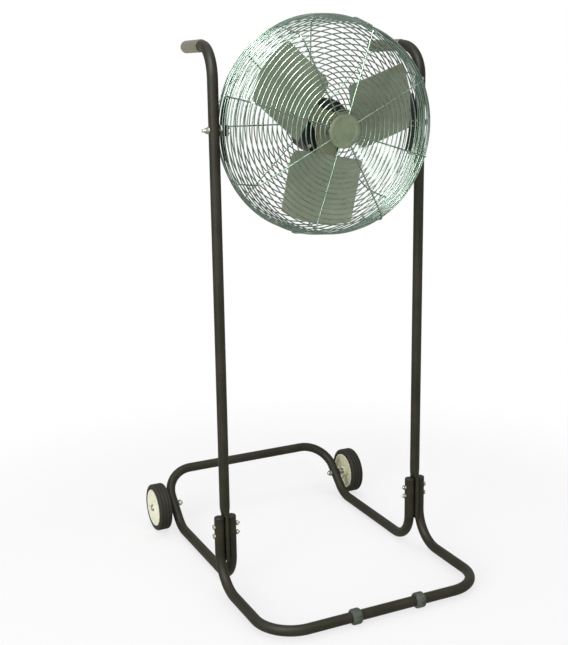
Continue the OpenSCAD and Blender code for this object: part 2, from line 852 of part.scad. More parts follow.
module motor_mount_bolts() {
    color([0.72, 0.72, 0.68]) in_head() at_mount_bolts()
        translate([0, mount_plate_y - bell_t, 0]) along_y() {
            rod(mount_bolt_d / 2, bell_t + mount_plate_t + 2 * seat);
            translate([0, 0, bell_t + mount_plate_t + seat]) hex(mount_head_w, mount_head_t);
        }
}

module motor_shell() {
    color([0.09, 0.09, 0.09]) in_head() difference() {
        translate([0, shell_front_y, 0])
            along_y() washer(motor_r, motor_r - shell_t, shell_len);
        translate([0, bushing_y, -motor_r - over]) rod(bushing_r, motor_r / 2);
    }
}

// The front bell's section, drawn as radius across and depth away from the shell
module front_bell_section(depth, boss) {
    bore = bearing_od / 2 + seat;
    flat_r = motor_r - bell_rim - bell_slope;
    polygon([[bore, depth], [boss_r, depth], [boss_r, depth - boss], [flat_r, bell_t],
        [motor_r, bell_t], [motor_r, 0], [flat_r, 0],
        [boss_r, depth - boss - bell_t], [bore, depth - boss - bell_t]]);
}

// The rear bell's section, closed at the back, with the bearing's seat inside
module rear_bell_section(depth) {
    bore = bearing_od / 2 + seat;
    rim_in_r = motor_r - bell_rim;
    floor_z = depth - bell_t;
    seat_z = floor_z - bearing_w - 2;
    polygon([[0, depth], [rim_in_r - bell_slope - 1, depth], [rim_in_r, bell_t],
        [motor_r, bell_t], [motor_r, 0], [rim_in_r - bell_slope, 0],
        [rim_in_r - 2 * bell_slope - 1, floor_z], [boss_r, floor_z], [boss_r, seat_z],
        [bore, seat_z], [bore, floor_z], [0, floor_z]]);
}

module through_holes(from_y, len) {
    for (k = [0:3]) rotate([0, -45 - k * 90, 0]) translate([through_bolt_r, from_y, 0])
        along_y() rod(through_bolt_d / 2 + bolt_play, len);
}

module motor_front_bell() {
    color([0.09, 0.09, 0.09]) in_head() difference() {
        translate([0, shell_front_y - seat, 0]) rotate([90, 0, 0])
            rotate_extrude($fn = 96)
                front_bell_section(shell_front_y - front_boss_y, front_boss_rise - 1);
        through_holes(shell_front_y - bell_t - over, bell_t + 2 * over);
    }
}

module motor_rear_bell() {
    color([0.09, 0.09, 0.09]) in_head() difference() {
        translate([0, shell_rear_y + seat, 0]) along_y() rotate_extrude($fn = 96)
            rear_bell_section(bell_rear_y - shell_rear_y - seat);
        through_holes(shell_rear_y - over, bell_t + 2 * over);
        at_mount_bolts() translate([0, bell_rear_y - bell_t - over, 0])
            along_y() rod(mount_bolt_d / 2 + run_play, bell_t + 2 * over);
    }
}

module motor_through_bolts() {
    color([0.6, 0.6, 0.57]) in_head() for (k = [0:3]) rotate([0, -45 - k * 90, 0])
        translate([through_bolt_r, shell_front_y - bell_t - 2 * seat, 0]) along_y() {
            rod(through_bolt_d / 2, shell_len + 2 * bell_t + through_tail);
            translate([0, 0, -through_head_t]) hex(through_head_w, through_head_t);
        }
}

module slot_section(play) {
    translate([slot_in_r - play, -slot_w / 2 - play])
        square([slot_out_r - slot_in_r + 2 * play, slot_w + 2 * play]);
}

module stator_core() {
    color([0.45, 0.45, 0.47]) in_head() translate([0, stack_mid_y - stack_len / 2, 0])
        along_y() difference() {
            washer(motor_r - shell_t - seat, stator_bore_r, stack_len);
            for (k = [0:slots - 1]) rotate([0, 0, k * 360 / slots]) translate([0, 0, -over])
                linear_extrude(stack_len + 2 * over) {
                    slot_section(slot_play);
                    translate([stator_bore_r - over, -slot_mouth / 2])
                        square([slot_in_r - stator_bore_r + over, slot_mouth]);
                }
            for (k = [0:3]) rotate([0, 0, 45 + k * 90]) translate([through_bolt_r, 0, -over])
                rod(through_bolt_d / 2 + slot_play, stack_len + 2 * over);
        }
}

module stator_winding() {
    lead = slot_play;
    color([0.65, 0.35, 0.15]) in_head() translate([0, stack_mid_y - stack_len / 2, 0]) along_y() {
        for (z = [-lead - winding_t, stack_len + lead]) translate([0, 0, z])
            washer(slot_out_r, slot_in_r, winding_t);
        for (k = [0:slots - 1]) rotate([0, 0, k * 360 / slots]) translate([0, 0, -lead - over])
            linear_extrude(stack_len + 2 * lead + 2 * over) slot_section(0);
    }
}

module bearing() {
    washer(bearing_od / 2, shaft_d / 2 + run_play, bearing_w);
}

module front_bearing() {
    color([0.7, 0.7, 0.72]) in_head()
        translate([0, front_boss_y + over, 0]) along_y() bearing();
}

module rear_bearing() {
    color([0.7, 0.7, 0.72]) in_head()
        translate([0, bell_rear_y - bell_t - bearing_w - seat, 0]) along_y() bearing();
}

// The rubber bushing where the supply cord would enter the shell, from below
module cord_bushing() {
    color([0.05, 0.05, 0.05]) in_head()
        translate([0, bushing_y, -motor_r - bushing_drop]) difference() {
            union() {
                rod(bushing_r - seat, bushing_len);
                rod(bushing_r + bushing_lip, bushing_drop - 0.5);
            }
            translate([0, 0, -over]) rod(bushing_r - bushing_wall, bushing_len + 2 * over);
        }
}

module motor_shaft() {
    color([0.75, 0.75, 0.76]) in_head() translate([0, shaft_front_y, 0])
        along_y() rod(shaft_d / 2, shaft_rear_y - shaft_front_y);
}

module rotor_core() {
    color([0.5, 0.5, 0.52]) in_head() translate([0, stack_mid_y - stack_len / 2, 0])
        along_y() washer(stator_bore_r - air_gap, shaft_d / 2 + seat, stack_len);
}

module screw_hole(r) {
    translate([0, screw_y, 0]) rod(r, hub_r + over);
}

module blade_hub() {
    color([0.55, 0.55, 0.53]) in_head() difference() {
        translate([0, hub_front_y, 0])
            along_y() washer(hub_r, shaft_d / 2 + seat, spider_y - spider_t / 2 - seat - hub_front_y);
        screw_hole(screw_r + run_play);
    }
}

module hub_set_screw() {
    color([0.3, 0.3, 0.3]) in_head() translate([0, screw_y, shaft_d / 2 + 2 * seat])
        rod(screw_r, hub_r - shaft_d / 2 + 2);
}

module at_blade(k) {
    rotate([0, -blade_turn - k * 360 / blades, 0]) translate([0, blade_y, 0])
        rotate([pitch, 0, 0]) children();
}

module rivet_holes(play) {
    for (r = rivet_rs) translate([r, -over, 0])
        along_y() rod(rivet_d / 2 + play, camber + blade_t + spider_t + 3 * over);
}

module blade_spider() {
    arm_y = camber + blade_t / 2 + seat;
    color([0.5, 0.5, 0.48]) in_head() difference() {
        union() {
            translate([0, spider_y - spider_t / 2, 0]) along_y() rod(spider_disc_r, spider_t);
            for (k = [0:blades - 1]) at_blade(k)
                translate([hub_r + 4, arm_y, -spider_arm_trail])
                    cube([spider_arm_len - hub_r - 4, spider_t, spider_arm_w]);
        }
        translate([0, spider_y - spider_t, 0]) along_y() rod(shaft_d / 2 + seat, 2 * spider_t);
        for (k = [0:blades - 1]) at_blade(k) rivet_holes(run_play);
    }
}

// The blade's outline seen along the fan's axis: a wide paddle whose leading side, drawn
// upwards, is wider and starts nearer the axis, with one corner rounded
module blade_outline() {
    low = -blade_w / 2;
    high = blade_w / 2 + blade_lead;
    intersection() {
        circle(r = tip_r, $fn = 128);
        translate([tip_r - tip_curve_r, blade_lead / 2]) circle(r = tip_curve_r, $fn = 128);
        union() {
            polygon([[root_r, low + blade_corner], [root_r + blade_corner, low], [tip_r, low],
                [tip_r, high], [root_r - root_slant, high]]);
            translate([root_r + blade_corner, low + blade_corner]) circle(r = blade_corner);
        }
    }
}

// A blade is the paddle's outline cut from a sheet bent about its own length
module blade(k) {
    color([0.47, 0.49, 0.4]) in_head() difference() {
        intersection() {
            rotate([0, -blade_turn - k * 360 / blades, 0]) rotate([90, 0, 0])
                linear_extrude(-2 * blade_y, center = false) blade_outline();
            at_blade(k) translate([0, camber - camber_r, 0]) along_x()
                washer(camber_r + blade_t / 2, camber_r - blade_t / 2, tip_r + over);
            at_blade(k) translate([0, -camber, -chord])
                cube([tip_r + over, 3 * camber, 2 * chord]);
        }
        at_blade(k) rivet_holes(run_play);
    }
}

module blade_1() { blade(0); }

module blade_2() { blade(1); }

module blade_3() { blade(2); }

module blade_rivets() {
    color([0.6, 0.61, 0.57]) in_head() for (k = [0:blades - 1], r = rivet_rs) at_blade(k)
        translate([r, camber - blade_t / 2 - rivet_head_t, 0]) along_y() {
            rod(rivet_d / 2, blade_t + spider_t + rivet_head_t + 2 * seat);
            rod(rivet_d, rivet_head_t - seat);
        }
}

front_base_tube();
rear_base_tube();
left_upright();
right_upright();
left_grip();
right_grip();
base_tube_caps();
joint_bolts();
joint_nuts();
left_bumper();
right_bumper();
left_axle_bolt();
right_axle_bolt();
axle_nuts();
axle_spacers();
left_tyre();
right_tyre();
left_hub();
right_hub();
pivot_studs();
pivot_nuts();
pivot_outer_washers();
pivot_inner_washers();
left_pivot_strap();
right_pivot_strap();
pivot_plates();
pivot_plate_wires();
front_guard_face();
front_guard_wall();
front_guard_spokes();
rear_guard_face();
rear_guard_wall();
rear_guard_band();
rear_guard_spokes();
guard_badge();
motor_mount_plate();
motor_mount_bolts();
motor_shell();
motor_front_bell();
motor_rear_bell();
motor_through_bolts();
stator_core();
stator_winding();
front_bearing();
rear_bearing();
cord_bushing();
motor_shaft();
rotor_core();
blade_hub();
hub_set_screw();
blade_spider();
blade_1();
blade_2();
blade_3();
blade_rivets();
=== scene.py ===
# %% [markdown]
# # A wire-guarded fan on a wheeled tube stand
# The fan's pieces were drawn at their real size in a CAD program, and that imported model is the
# frame of this scene. This file gives each piece its finish and builds, in mesh code, the pieces
# whose looks need more than the CAD shape. The scene is in metres, the pieces' own sizes are
# written in millimetres, +Z is up, and the fan blows towards -Y.

# %% Load the frame
import json
import math

import bmesh
import bpy
from mathutils import Matrix, Vector


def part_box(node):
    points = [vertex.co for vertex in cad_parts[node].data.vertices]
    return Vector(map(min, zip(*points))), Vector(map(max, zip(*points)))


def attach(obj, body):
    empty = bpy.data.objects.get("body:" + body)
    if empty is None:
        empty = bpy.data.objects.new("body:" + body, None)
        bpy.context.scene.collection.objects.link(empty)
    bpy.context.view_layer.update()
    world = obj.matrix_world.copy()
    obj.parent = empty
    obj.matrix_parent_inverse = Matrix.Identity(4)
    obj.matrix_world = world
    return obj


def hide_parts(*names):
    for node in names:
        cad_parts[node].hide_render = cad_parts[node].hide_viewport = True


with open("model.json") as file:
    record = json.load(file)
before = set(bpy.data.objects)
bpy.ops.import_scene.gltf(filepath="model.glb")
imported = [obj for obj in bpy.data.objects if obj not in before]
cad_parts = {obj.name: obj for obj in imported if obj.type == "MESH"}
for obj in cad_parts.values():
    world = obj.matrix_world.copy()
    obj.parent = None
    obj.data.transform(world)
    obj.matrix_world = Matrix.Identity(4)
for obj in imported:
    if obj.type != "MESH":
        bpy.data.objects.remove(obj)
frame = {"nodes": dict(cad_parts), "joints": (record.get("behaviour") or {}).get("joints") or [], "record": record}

scene = bpy.context.scene
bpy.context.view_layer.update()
nodes = frame["nodes"]
slot_of = {row["node"]: row["material_slot"] for row in frame["record"]["subparts"]}

# %% [markdown]
# ## Camera
# The picture was taken from the front left, a little above the guard. A pinhole camera was fitted
# to the stand's known sizes, which gives the place, the direction and the lens. The picture was
# cropped slightly off its middle, so the lens is shifted by a few pixels.

# %% Camera
IMAGE_W, IMAGE_H = 568, 645
SENSOR_MM = 36
FOCAL_PX = 1069.1
CENTRE_PX = (287.1, 318.2)
CAMERA_AT = Vector((-1.197, -2.380, 1.270))
YAW, PITCH, ROLL = (math.radians(angle) for angle in (-25.69, 13.2, 0.79))
SEES_TO = 50


def camera_axes(yaw, pitch, roll):
    """The camera's right, up and backward directions."""
    back = Vector((
        math.sin(yaw) * math.cos(pitch), -math.cos(yaw) * math.cos(pitch), math.sin(pitch),
    ))
    right = (-back).cross(Vector((0, 0, 1))).normalized()
    up = right.cross(-back)
    return (
        math.cos(roll) * right - math.sin(roll) * up,
        math.sin(roll) * right + math.cos(roll) * up,
        back,
    )


camera = bpy.data.objects.new("camera", bpy.data.cameras.new("camera"))
scene.collection.objects.link(camera)
scene.camera = camera
turned_to = Matrix(camera_axes(YAW, PITCH, ROLL)).transposed().to_4x4()
camera.matrix_world = Matrix.Translation(CAMERA_AT) @ turned_to
camera.data.sensor_width = SENSOR_MM
camera.data.lens = FOCAL_PX * SENSOR_MM / IMAGE_H
camera.data.shift_x = (IMAGE_W / 2 - CENTRE_PX[0]) / IMAGE_H
camera.data.shift_y = (CENTRE_PX[1] - IMAGE_H / 2) / IMAGE_H
camera.data.clip_end = SEES_TO
print("lens:", round(camera.data.lens, 2), "mm")

# %% [markdown]
# ## Helpers for node trees
# The world, the floor and all finishes are trees of shader nodes. Two small functions keep them
# short: one adds a node with its settings, and one wires the sockets.


# %% Nodes and links
def add(tree, kind, **settings):
    """A new node with its settings; a name that isn't a setting is the node's input."""
    node = tree.nodes.new(kind)
    for name, value in settings.items():
        if hasattr(node, name):
            setattr(node, name, value)
        else:
            node.inputs[name.replace("_", " ")].default_value = value
    return node


def join(tree, *pairs):
    """Wires each output to each input."""
    for output, into in pairs:
        tree.links.new(output, into)


# %% [markdown]
# ## Floor, backdrop and light
# The fan stands on white in an evenly lit studio. The world is white wherever the camera or a
# reflection sees it, and gives only part of that strength as light, so that the lamps can model
# the round tubes. The floor is white too and keeps the fan's shadow near its feet: further out it
# fades into the same plain white as the world.

# %% Floor and world
WORLD_LIGHT = 0.62
FLOOR_R = 4.0
SHADOW_REACH = 1.5
SHADOW_LIFT = 0.7
WHITE = (1, 1, 1, 1)
FLOOR_WHITE = (0.93, 0.93, 0.93, 1)


def seen_directly(tree):
    """A value that is 1 where the camera, a reflection or a refraction looks, and 0 for light."""
    path = add(tree, "ShaderNodeLightPath")
    seen = path.outputs["Is Camera Ray"]
    for ray in ("Is Glossy Ray", "Is Transmission Ray"):
        larger = add(tree, "ShaderNodeMath", operation="MAXIMUM")
        join(tree, (seen, larger.inputs[0]), (path.outputs[ray], larger.inputs[1]))
        seen = larger.outputs[0]
    return seen


def white_world():
    """White to look at, and a weaker white as light."""
    world = bpy.data.worlds.new("studio_white")
    scene.world = world
    world.use_nodes = True
    tree = world.node_tree
    tree.nodes.clear()
    light = add(tree, "ShaderNodeBackground", Color=WHITE, Strength=WORLD_LIGHT)
    white = add(tree, "ShaderNodeBackground", Color=WHITE, Strength=1)
    mix = add(tree, "ShaderNodeMixShader")
    out = add(tree, "ShaderNodeOutputWorld")
    join(
        tree,
        (seen_directly(tree), mix.inputs[0]),
        (light.outputs[0], mix.inputs[1]),
        (white.outputs[0], mix.inputs[2]),
        (mix.outputs[0], out.inputs["Surface"]),
    )


def floor_finish():
    """White paint that fades into plain white light away from the fan."""
    material = bpy.data.materials.new("studio_floor")
    material.use_nodes = True
    tree = material.node_tree
    tree.nodes.clear()
    place = add(tree, "ShaderNodeTexCoord")
    length = add(tree, "ShaderNodeVectorMath", operation="LENGTH")
    fade = add(
        tree, "ShaderNodeMapRange", interpolation_type="SMOOTHSTEP",
        From_Min=SHADOW_REACH / 2, From_Max=SHADOW_REACH, To_Min=SHADOW_LIFT,
    )
    both = add(tree, "ShaderNodeMath", operation="MULTIPLY")
    paint = add(tree, "ShaderNodeBsdfDiffuse", Color=FLOOR_WHITE)
    glow = add(tree, "ShaderNodeEmission", Color=WHITE, Strength=1)
    mix = add(tree, "ShaderNodeMixShader")
    out = add(tree, "ShaderNodeOutputMaterial")
    join(
        tree,
        (place.outputs["Object"], length.inputs[0]),
        (length.outputs["Value"], fade.inputs["Value"]),
        (fade.outputs["Result"], both.inputs[0]),
        (seen_directly(tree), both.inputs[1]),
        (both.outputs[0], mix.inputs[0]),
        (paint.outputs[0], mix.inputs[1]),
        (glow.outputs[0], mix.inputs[2]),
        (mix.outputs[0], out.inputs["Surface"]),
    )
    return material


white_world()
bm = bmesh.new()
bmesh.ops.create_circle(bm, cap_ends=True, segments=96, radius=FLOOR_R)
floor_mesh = bpy.data.meshes.new("floor")
bm.to_mesh(floor_mesh)
bm.free()
floor_mesh.materials.append(floor_finish())
floor = bpy.data.objects.new("floor", floor_mesh)
scene.collection.objects.link(floor)
scene.view_settings.view_transform = "Standard"
print("floor reaches", FLOOR_R, "m from the fan")

# %% Lamps
FAN_MIDDLE = (0, -0.1, 1.13)


def softbox(name, place, aim, size, watts, sheen_only=False):
    """A lamp with a flat face. One that is for the sheen alone shows only in reflections."""
    lamp = bpy.data.lights.new(name, "AREA")
    lamp.shape = "RECTANGLE"
    lamp.size, lamp.size_y = size
    lamp.energy = watts
    thing = bpy.data.objects.new(name, lamp)
    scene.collection.objects.link(thing)
    thing.location = place
    thing.rotation_mode = "QUATERNION"
    thing.rotation_quaternion = (Vector(aim) - Vector(place)).to_track_quat("-Z", "Y")
    thing.visible_diffuse = not sheen_only


softbox("key_lamp", (-3.0, -1.7, 1.0), aim=(0, 0, 0.9), size=(1.6, 1.6), watts=66)
softbox("fill_lamp", (0.9, -2.9, 1.2), aim=(0, 0, 0.7), size=(1.4, 1.8), watts=20)
softbox("top_lamp", (0.2, 0.8, 3.2), aim=(0, 0, 0.6), size=(1.8, 1.8), watts=14)
softbox("left_window", (-2.0, -1.3, 2.2), FAN_MIDDLE, size=(0.7, 1.0), watts=140, sheen_only=True)
softbox("high_window", (-1.0, -1.3, 3.0), FAN_MIDDLE, size=(1.0, 0.7), watts=190, sheen_only=True)

# %% [markdown]
# ## Shared effects
# Several finishes need the same things: a slow change of shade over the surface, a fine grain that
# catches the light, worn edges and dust on what faces up. Each is a node group, built once here and
# placed in the materials with its own values. The groups give out only masks and normals. They
# read the object's own coordinates, so a pattern stays with its piece when the fan moves.


# %% The effects
def new_group(name, inputs, output, kind="NodeSocketFloat"):
    """An empty node group with named sockets; returns its tree, its inputs and its output."""
    tree = bpy.data.node_groups.new(name, "ShaderNodeTree")
    for label, value in inputs.items():
        socket = tree.interface.new_socket(label, in_out="INPUT", socket_type="NodeSocketFloat")
        socket.default_value = value
    tree.interface.new_socket(output, in_out="OUTPUT", socket_type=kind)
    given = tree.nodes.new("NodeGroupInput").outputs
    return tree, given, tree.nodes.new("NodeGroupOutput").inputs[output]


def mottle_group():
    """A soft mask that changes slowly over the surface."""
    tree, given, mask = new_group("mottle", {"Scale": 10, "Low": 0.35, "High": 0.65}, "Mask")
    place = add(tree, "ShaderNodeTexCoord")
    noise = add(tree, "ShaderNodeTexNoise", Detail=4, Roughness=0.6)
    spread = add(tree, "ShaderNodeMapRange", interpolation_type="SMOOTHSTEP")
    join(
        tree,
        (place.outputs["Object"], noise.inputs["Vector"]),
        (given["Scale"], noise.inputs["Scale"]),
        (noise.outputs["Fac"], spread.inputs["Value"]),
        (given["Low"], spread.inputs["From Min"]),
        (given["High"], spread.inputs["From Max"]),
        (spread.outputs["Result"], mask),
    )
    return tree


def grain_group():
    """A fine bump as of orange peel, cast skin or moulded texture, as a normal."""
    tree, given, normal = new_group(
        "fine_grain", {"Scale": 600, "Depth": 0.00005}, "Normal", "NodeSocketVector"
    )
    place = add(tree, "ShaderNodeTexCoord")
    noise = add(tree, "ShaderNodeTexNoise", Detail=3, Roughness=0.55)
    bump = add(tree, "ShaderNodeBump", Strength=1)
    join(
        tree,
        (place.outputs["Object"], noise.inputs["Vector"]),
        (given["Scale"], noise.inputs["Scale"]),
        (noise.outputs["Fac"], bump.inputs["Height"]),
        (given["Depth"], bump.inputs["Distance"]),
        (bump.outputs["Normal"], normal),
    )
    return tree


def edge_group():
    """A mask of the corners that hands and tools rub, broken up by noise."""
    tree, given, mask = new_group(
        "edge_wear", {"Width": 0.001, "Breakup": 150, "Amount": 0.5}, "Mask"
    )
    place = add(tree, "ShaderNodeTexCoord")
    shape = add(tree, "ShaderNodeNewGeometry")
    rounded = add(tree, "ShaderNodeBevel", samples=4)
    dot = add(tree, "ShaderNodeVectorMath", operation="DOT_PRODUCT")
    corner = add(tree, "ShaderNodeMapRange", From_Min=0.999, From_Max=0.90)
    noise = add(tree, "ShaderNodeTexNoise", Detail=5, Roughness=0.7)
    broken = add(tree, "ShaderNodeMapRange", From_Min=0.4, From_Max=0.6)
    both = add(tree, "ShaderNodeMath", operation="MULTIPLY")
    scaled = add(tree, "ShaderNodeMath", operation="MULTIPLY")
    join(
        tree,
        (given["Width"], rounded.inputs["Radius"]),
        (shape.outputs["Normal"], dot.inputs[0]),
        (rounded.outputs["Normal"], dot.inputs[1]),
        (dot.outputs["Value"], corner.inputs["Value"]),
        (place.outputs["Object"], noise.inputs["Vector"]),
        (given["Breakup"], noise.inputs["Scale"]),
        (noise.outputs["Fac"], broken.inputs["Value"]),
        (corner.outputs["Result"], both.inputs[0]),
        (broken.outputs["Result"], both.inputs[1]),
        (both.outputs[0], scaled.inputs[0]),
        (given["Amount"], scaled.inputs[1]),
        (scaled.outputs[0], mask),
    )
    return tree


def dust_group():
    """A mask of dust on the faces that look up, blotchy as real dust is."""
    tree, given, mask = new_group("settled_dust", {"Amount": 0.3}, "Mask")
    place = add(tree, "ShaderNodeTexCoord")
    split = add(tree, "ShaderNodeSeparateXYZ")
    upward = add(
        tree, "ShaderNodeMapRange", interpolation_type="SMOOTHSTEP", From_Min=0.35, From_Max=1
    )
    noise = add(tree, "ShaderNodeTexNoise", Scale=60, Detail=6, Roughness=0.7)
    both = add(tree, "ShaderNodeMath", operation="MULTIPLY")
    scaled = add(tree, "ShaderNodeMath", operation="MULTIPLY")
    join(
        tree,
        (place.outputs["Normal"], split.inputs[0]),
        (split.outputs["Z"], upward.inputs["Value"]),
        (place.outputs["Object"], noise.inputs["Vector"]),
        (upward.outputs["Result"], both.inputs[0]),
        (noise.outputs["Fac"], both.inputs[1]),
        (both.outputs[0], scaled.inputs[0]),
        (given["Amount"], scaled.inputs[1]),
        (scaled.outputs[0], mask),
    )
    return tree


GROUPS = {
    "mottle": mottle_group(),
    "grain": grain_group(),
    "edge": edge_group(),
    "dust": dust_group(),
}
print("shared effects:", ", ".join(GROUPS))

# %% [markdown]
# ## Finishes
# A finish starts from two shades of its colour that the mottle blends, then gets its wear and its
# dust on top, a roughness that follows the same masks, and a grain. One function builds all of
# them, and each finish below is its list of values. Colours are as read off a screen.

# %% The recipe for a finish
DUST_ROUGHNESS = 0.9
COAT_ROUGHNESS = 0.12


def linear(red, green, blue):
    """A colour as read off a screen, 0 to 255, in the linear values that shaders use."""
    def one(value):
        value /= 255
        return value / 12.92 if value <= 0.04045 else ((value + 0.055) / 1.055) ** 2.4

    return (one(red), one(green), one(blue), 1)


def group(tree, effect, **values):
    """One of the shared effects, placed in a material with its own values."""
    node = tree.nodes.new("ShaderNodeGroup")
    node.node_tree = GROUPS[effect]
    for name, value in values.items():
        node.inputs[name].default_value = value
    return node.outputs[0]


def mixed(tree, mask, below, above, kind):
    """What is below where the mask is 0, and what is above where it is 1: values or sockets."""
    mix = tree.nodes.new("ShaderNodeMix")
    mix.data_type = {"VALUE": "FLOAT"}.get(kind, kind)
    tree.links.new(mask, mix.inputs["Factor"])
    for label, source in (("A", below), ("B", above)):
        socket = next(s for s in mix.inputs if s.name == label and s.type == kind)
        if isinstance(source, bpy.types.NodeSocket):
            tree.links.new(source, socket)
        else:
            socket.default_value = source
    return next(s for s in mix.outputs if s.type == kind)


def finish(
    name, shades, mottle, rough, grain, metal=0.0, wear=None, dust=None, gloss=0.5, coat=0.0
):
    """A material. shades: dark and light; mottle: the scale of its patches; rough: low and high;
    grain: scale and depth; wear: colour, width and amount; dust: colour and amount."""
    material = bpy.data.materials.new(name)
    material.use_nodes = True
    tree = material.node_tree
    shader = tree.nodes["Principled BSDF"]
    patches = group(tree, "mottle", Scale=mottle)
    colour = mixed(tree, patches, linear(*shades[0]), linear(*shades[1]), "RGBA")
    roughness = mixed(tree, patches, *rough, "VALUE")
    if wear:
        worn = group(tree, "edge", Width=wear[1], Amount=wear[2])
        colour = mixed(tree, worn, colour, linear(*wear[0]), "RGBA")
    if dust:
        dusty = group(tree, "dust", Amount=dust[1])
        colour = mixed(tree, dusty, colour, linear(*dust[0]), "RGBA")
        roughness = mixed(tree, dusty, roughness, DUST_ROUGHNESS, "VALUE")
    join(
        tree,
        (colour, shader.inputs["Base Color"]),
        (roughness, shader.inputs["Roughness"]),
        (group(tree, "grain", Scale=grain[0], Depth=grain[1]), shader.inputs["Normal"]),
    )
    shader.inputs["Metallic"].default_value = metal
    shader.inputs["Specular IOR Level"].default_value = gloss
    shader.inputs["Coat Weight"].default_value = coat
    shader.inputs["Coat Roughness"].default_value = COAT_ROUGHNESS
    return material


# %% Paints, plastics and rubbers
GREY_DUST = (122, 116, 102)
PAINTS = {
    "tube_paint": dict(
        shades=((33, 32, 21), (42, 40, 28)), mottle=14, rough=(0.5, 0.62), grain=(700, 0.00006),
        wear=((84, 79, 66), 0.0015, 0.4), dust=(GREY_DUST, 0.06), gloss=0.12,
    ),
    "grip_vinyl": dict(
        shades=((82, 78, 56), (100, 96, 72)), mottle=40, rough=(0.42, 0.55), grain=(900, 0.00004),
        wear=((66, 62, 46), 0.002, 0.4), dust=(GREY_DUST, 0.1), gloss=0.4,
    ),
    "black_plastic": dict(
        shades=((34, 32, 25), (42, 40, 32)), mottle=60, rough=(0.55, 0.7), grain=(1500, 0.00004),
        dust=(GREY_DUST, 0.05), gloss=0.15,
    ),
    "bumper_rubber": dict(
        shades=((40, 44, 36), (76, 84, 74)), mottle=70, rough=(0.6, 0.85), grain=(1200, 0.00012),
        wear=((96, 102, 92), 0.0012, 0.5), dust=(GREY_DUST, 0.08), gloss=0.25,
    ),
    "tyre_rubber": dict(
        shades=((29, 28, 20), (40, 37, 27)), mottle=30, rough=(0.7, 0.9), grain=(1000, 0.00012),
        wear=((64, 58, 42), 0.0015, 0.4), dust=(GREY_DUST, 0.06), gloss=0.2,
    ),
    "hub_plastic": dict(
        shades=((208, 206, 180), (224, 222, 198)), mottle=25, rough=(0.35, 0.5),
        grain=(500, 0.00003), wear=((170, 166, 140), 0.001, 0.3), dust=((160, 152, 128), 0.12),
    ),
    "badge_paint": dict(
        shades=((95, 108, 84), (107, 119, 93)), mottle=45, rough=(0.5, 0.6),
        grain=(900, 0.00004), wear=((150, 157, 130), 0.0008, 0.6), gloss=0.2,
    ),
    "black_steel": dict(
        shades=((22, 23, 20), (32, 33, 28)), mottle=30, rough=(0.45, 0.6), grain=(800, 0.00006),
        wear=((80, 78, 70), 0.0008, 0.4), dust=(GREY_DUST, 0.12), gloss=0.2,
    ),
}
finishes = {name: finish(name, **values) for name, values in PAINTS.items()}
print("paints, plastics and rubbers:", len(finishes))

# %% Metals
METALS = {
    "zinc_steel": dict(
        shades=((112, 116, 102), (158, 160, 144)), mottle=300, rough=(0.28, 0.42),
        grain=(2500, 0.00002), metal=1.0, wear=((214, 212, 198), 0.0006, 0.6),
    ),
    "dull_steel": dict(
        shades=((110, 110, 104), (156, 156, 148)), mottle=120, rough=(0.38, 0.55),
        grain=(1800, 0.00003), metal=1.0, wear=((200, 200, 190), 0.0006, 0.5),
    ),
    "guard_wire": dict(
        shades=((80, 98, 85), (94, 112, 98)), mottle=30, rough=(0.24, 0.34),
        grain=(2500, 0.00001), metal=1.0, coat=0.5,
    ),
    "blade_alloy": dict(
        shades=((110, 117, 99), (122, 129, 110)), mottle=12, rough=(0.55, 0.68),
        grain=(1200, 0.00002), metal=0.2, wear=((146, 150, 130), 0.0012, 0.3), gloss=0.25,
    ),
    "spider_steel": dict(
        shades=((104, 106, 82), (118, 120, 96)), mottle=40, rough=(0.55, 0.7),
        grain=(1500, 0.00003), metal=0.2, wear=((130, 124, 102), 0.0012, 0.3), gloss=0.25,
    ),
    "lamination": dict(
        shades=((90, 90, 94), (120, 120, 124)), mottle=100, rough=(0.4, 0.55),
        grain=(900, 0.00005), metal=1.0,
    ),
    "copper": dict(
        shades=((150, 78, 40), (190, 110, 60)), mottle=120, rough=(0.3, 0.42),
        grain=(1500, 0.00008), metal=1.0,
    ),
    "bearing_steel": dict(
        shades=((180, 180, 184), (208, 208, 212)), mottle=200, rough=(0.18, 0.3),
        grain=(2500, 0.00001), metal=1.0,
    ),
}
finishes.update({name: finish(name, **values) for name, values in METALS.items()})
for name, node in nodes.items():
    node.data.materials.clear()
    node.data.materials.append(finishes[slot_of[name]])
print("finishes:", len(finishes))

# %% [markdown]
# ## Tools for building pieces
# Most pieces of such a fan are turned, bent or pressed. Three moves therefore make nearly all of
# them here: a section that is spun about an axis, a ring that is extruded step by step, and a flat
# sheet that gets its thickness. Sizes are the CAD's own, in millimetres. `finished` turns the mesh
# into an object in its place, with its material, the body it rides on and the nodes it stands for.

# %% Places on the stand and on the head
MM = 0.001
PLAY = 0.05  # Pieces that touch are drawn this far apart.
SIDES = {"left": -1, "right": 1}
joints = {joint["name"]: joint for joint in frame["joints"]}
PIVOT = Vector(joints["head_tilt"]["pos_m"])
STAND = Matrix.Translation((0, PIVOT.y, 0))
REST_TILT = math.radians(3.5)
HEAD = Matrix.Translation(PIVOT) @ Matrix.Rotation(REST_TILT, 4, "X")


def at(x, y, z):
    """A place, given in millimetres."""
    return Matrix.Translation(Vector((x, y, z)) * MM)


def turn(degrees, axis):
    return Matrix.Rotation(math.radians(degrees), 4, axis)


def mirrored(side):
    """Leaves the right side as it is and mirrors it for the left."""
    return Matrix.Diagonal((side, 1, 1, 1))


print("pivot:", [round(v, 4) for v in PIVOT])

# %% Helpers that shape a mesh
TOUCHING = MM / 1000


def only(kind, parts):
    """The vertices or the edges among the parts that an operator gives back."""
    return [part for part in parts if isinstance(part, kind)]


def everything(bm):
    return bm.verts[:] + bm.edges[:] + bm.faces[:]


